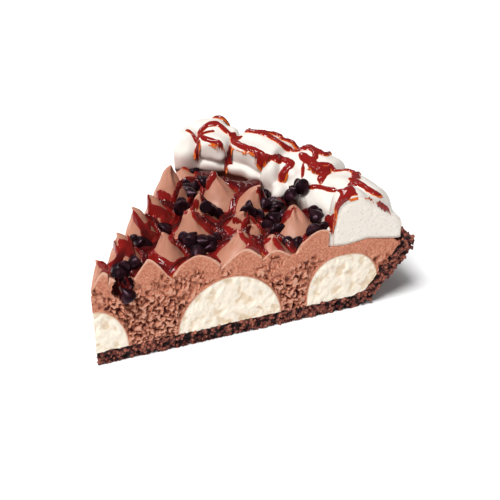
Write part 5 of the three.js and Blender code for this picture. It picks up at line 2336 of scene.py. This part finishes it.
@dataclass
class Studio:
    """The floor, the lights and the camera, set as the photograph's."""

    view: PhotoView
    key_strength: float = 2.9
    key_spread: float = 24.0
    key_turn: float = -35.0
    key_rise: float = 66.0
    air_strength: float = 0.16
    floor_half: float = 3.0
    nearest: float = 0.01

    def spot(self, right: float, ahead: float, height: float) -> Array:
        """A place in metres, measured in mm to the camera's right and ahead from the pie's axis."""
        plan = (self.view.side * right + self.view.ahead * ahead) * MM + PIE_AXIS.offset[:2]
        return np.array([*plan, height * MM])

    @staticmethod
    def put(name: str, data: bpy.types.ID) -> bpy.types.Object:
        """Adds an object that holds the data to the scene."""
        thing = bpy.data.objects.new(name, data)
        bpy.context.scene.collection.objects.link(thing)
        return thing

    def camera(self) -> None:
        """Sets the camera at the photograph's place and angle."""
        data = bpy.data.cameras.new("camera")
        data.lens = self.view.focal_pixels * self.view.sensor / self.view.image_pixels
        data.sensor_width = self.view.sensor
        data.clip_start = self.nearest
        thing = self.put("camera", data)
        thing.location = self.spot(self.view.right, -self.view.back, self.view.height)
        thing.rotation_euler = (
            math.radians(90 - self.view.look_down), 0, math.radians(self.view.look_turn - 90))
        bpy.context.scene.camera = thing

    def light(self, lamp: Lamp) -> None:
        """Adds a soft light, turned to look at its aim.

        Args:
            lamp: The light.
        """
        data = bpy.data.lights.new(lamp.name, "AREA")
        data.size = lamp.side * MM
        data.energy = lamp.watts
        thing = self.put(lamp.name, data)
        thing.location = self.spot(*lamp.spot)
        thing.visible_glossy = lamp.mirrored
        way = self.spot(*lamp.aim) - self.spot(*lamp.spot)
        flat = float(np.linalg.norm(way[:2]))
        thing.rotation_euler = (math.atan2(flat, -way[2]), 0, math.atan2(way[1], way[0]) - math.pi / 2)

    def key(self) -> None:
        """Adds the main light, a wide sun high behind the camera's left shoulder."""
        data = bpy.data.lights.new("key_light", "SUN")
        data.energy = self.key_strength
        data.angle = math.radians(self.key_spread)
        turn = math.radians(self.view.look_turn + self.key_turn)
        thing = self.put("key_light", data)
        thing.rotation_euler = (math.radians(90 - self.key_rise), 0, turn - math.pi / 2)

    def floor(self) -> None:
        """Lays a wide pale floor."""
        side = self.floor_half
        mesh = bpy.data.meshes.new("studio_floor")
        corners = [(-side, -side, 0), (side, -side, 0), (side, side, 0), (-side, side, 0)]
        mesh.from_pydata(corners, [], [(0, 1, 2, 3)])
        mesh.materials.append(PaintedFloor().material())
        thing = self.put("studio_floor", mesh)

    def air(self) -> None:
        """Lights every side a little, in white, and shows colours as they are."""
        world = bpy.data.worlds.new("studio_air")
        world.use_nodes = True
        background = world.node_tree.nodes["Background"]
        background.inputs["Color"].default_value = linear("#FFFFFF")
        background.inputs["Strength"].default_value = self.air_strength
        bpy.context.scene.world = world
        bpy.context.scene.view_settings.view_transform = "Standard"

    def build(self) -> None:
        """Sets the camera, the floor, a glint, a light from behind, a fill in front, the sun and the air."""
        self.camera()
        self.floor()
        for lamp in LAMPS:
            self.light(lamp)
        self.key()
        self.air()


def main() -> None:
    """Builds the slice over its frame, then the studio."""
    logging.basicConfig(level=logging.INFO, format="%(name)s %(message)s")
    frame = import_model()
    PIE_AXIS.read(frame["nodes"]["crust"])
    view = PhotoView()
    mousse_finish = AeratedMousse().material()
    sauce_finish = PouredSauce().material()
    wall = Crust().build(BakedCrumb().material())
    filling = Filling().build(mousse_finish, VanillaMousse().material())
    peaks = Peaks().build(mousse_finish)
    chip_finish = DarkChocolate().material()
    Chips().build(chip_finish)
    cream = Cream().build(DairyFoam().material())
    ground = Terrain([filling, *peaks, cream, wall])
    heaped = FallenChips().build(view, ground, Chips(), chip_finish)
    drizzle = Drizzle(view)
    strands = drizzle.strands(ground)
    drizzle.build(PEAKS_SHEET, Terrain([filling, *peaks]), strands, sauce_finish, heaped)
    drizzle.build(CREAM_SHEET, Terrain([cream, wall]), strands, sauce_finish)
    Studio(view).build()


if __name__ == "__main__":
    main()
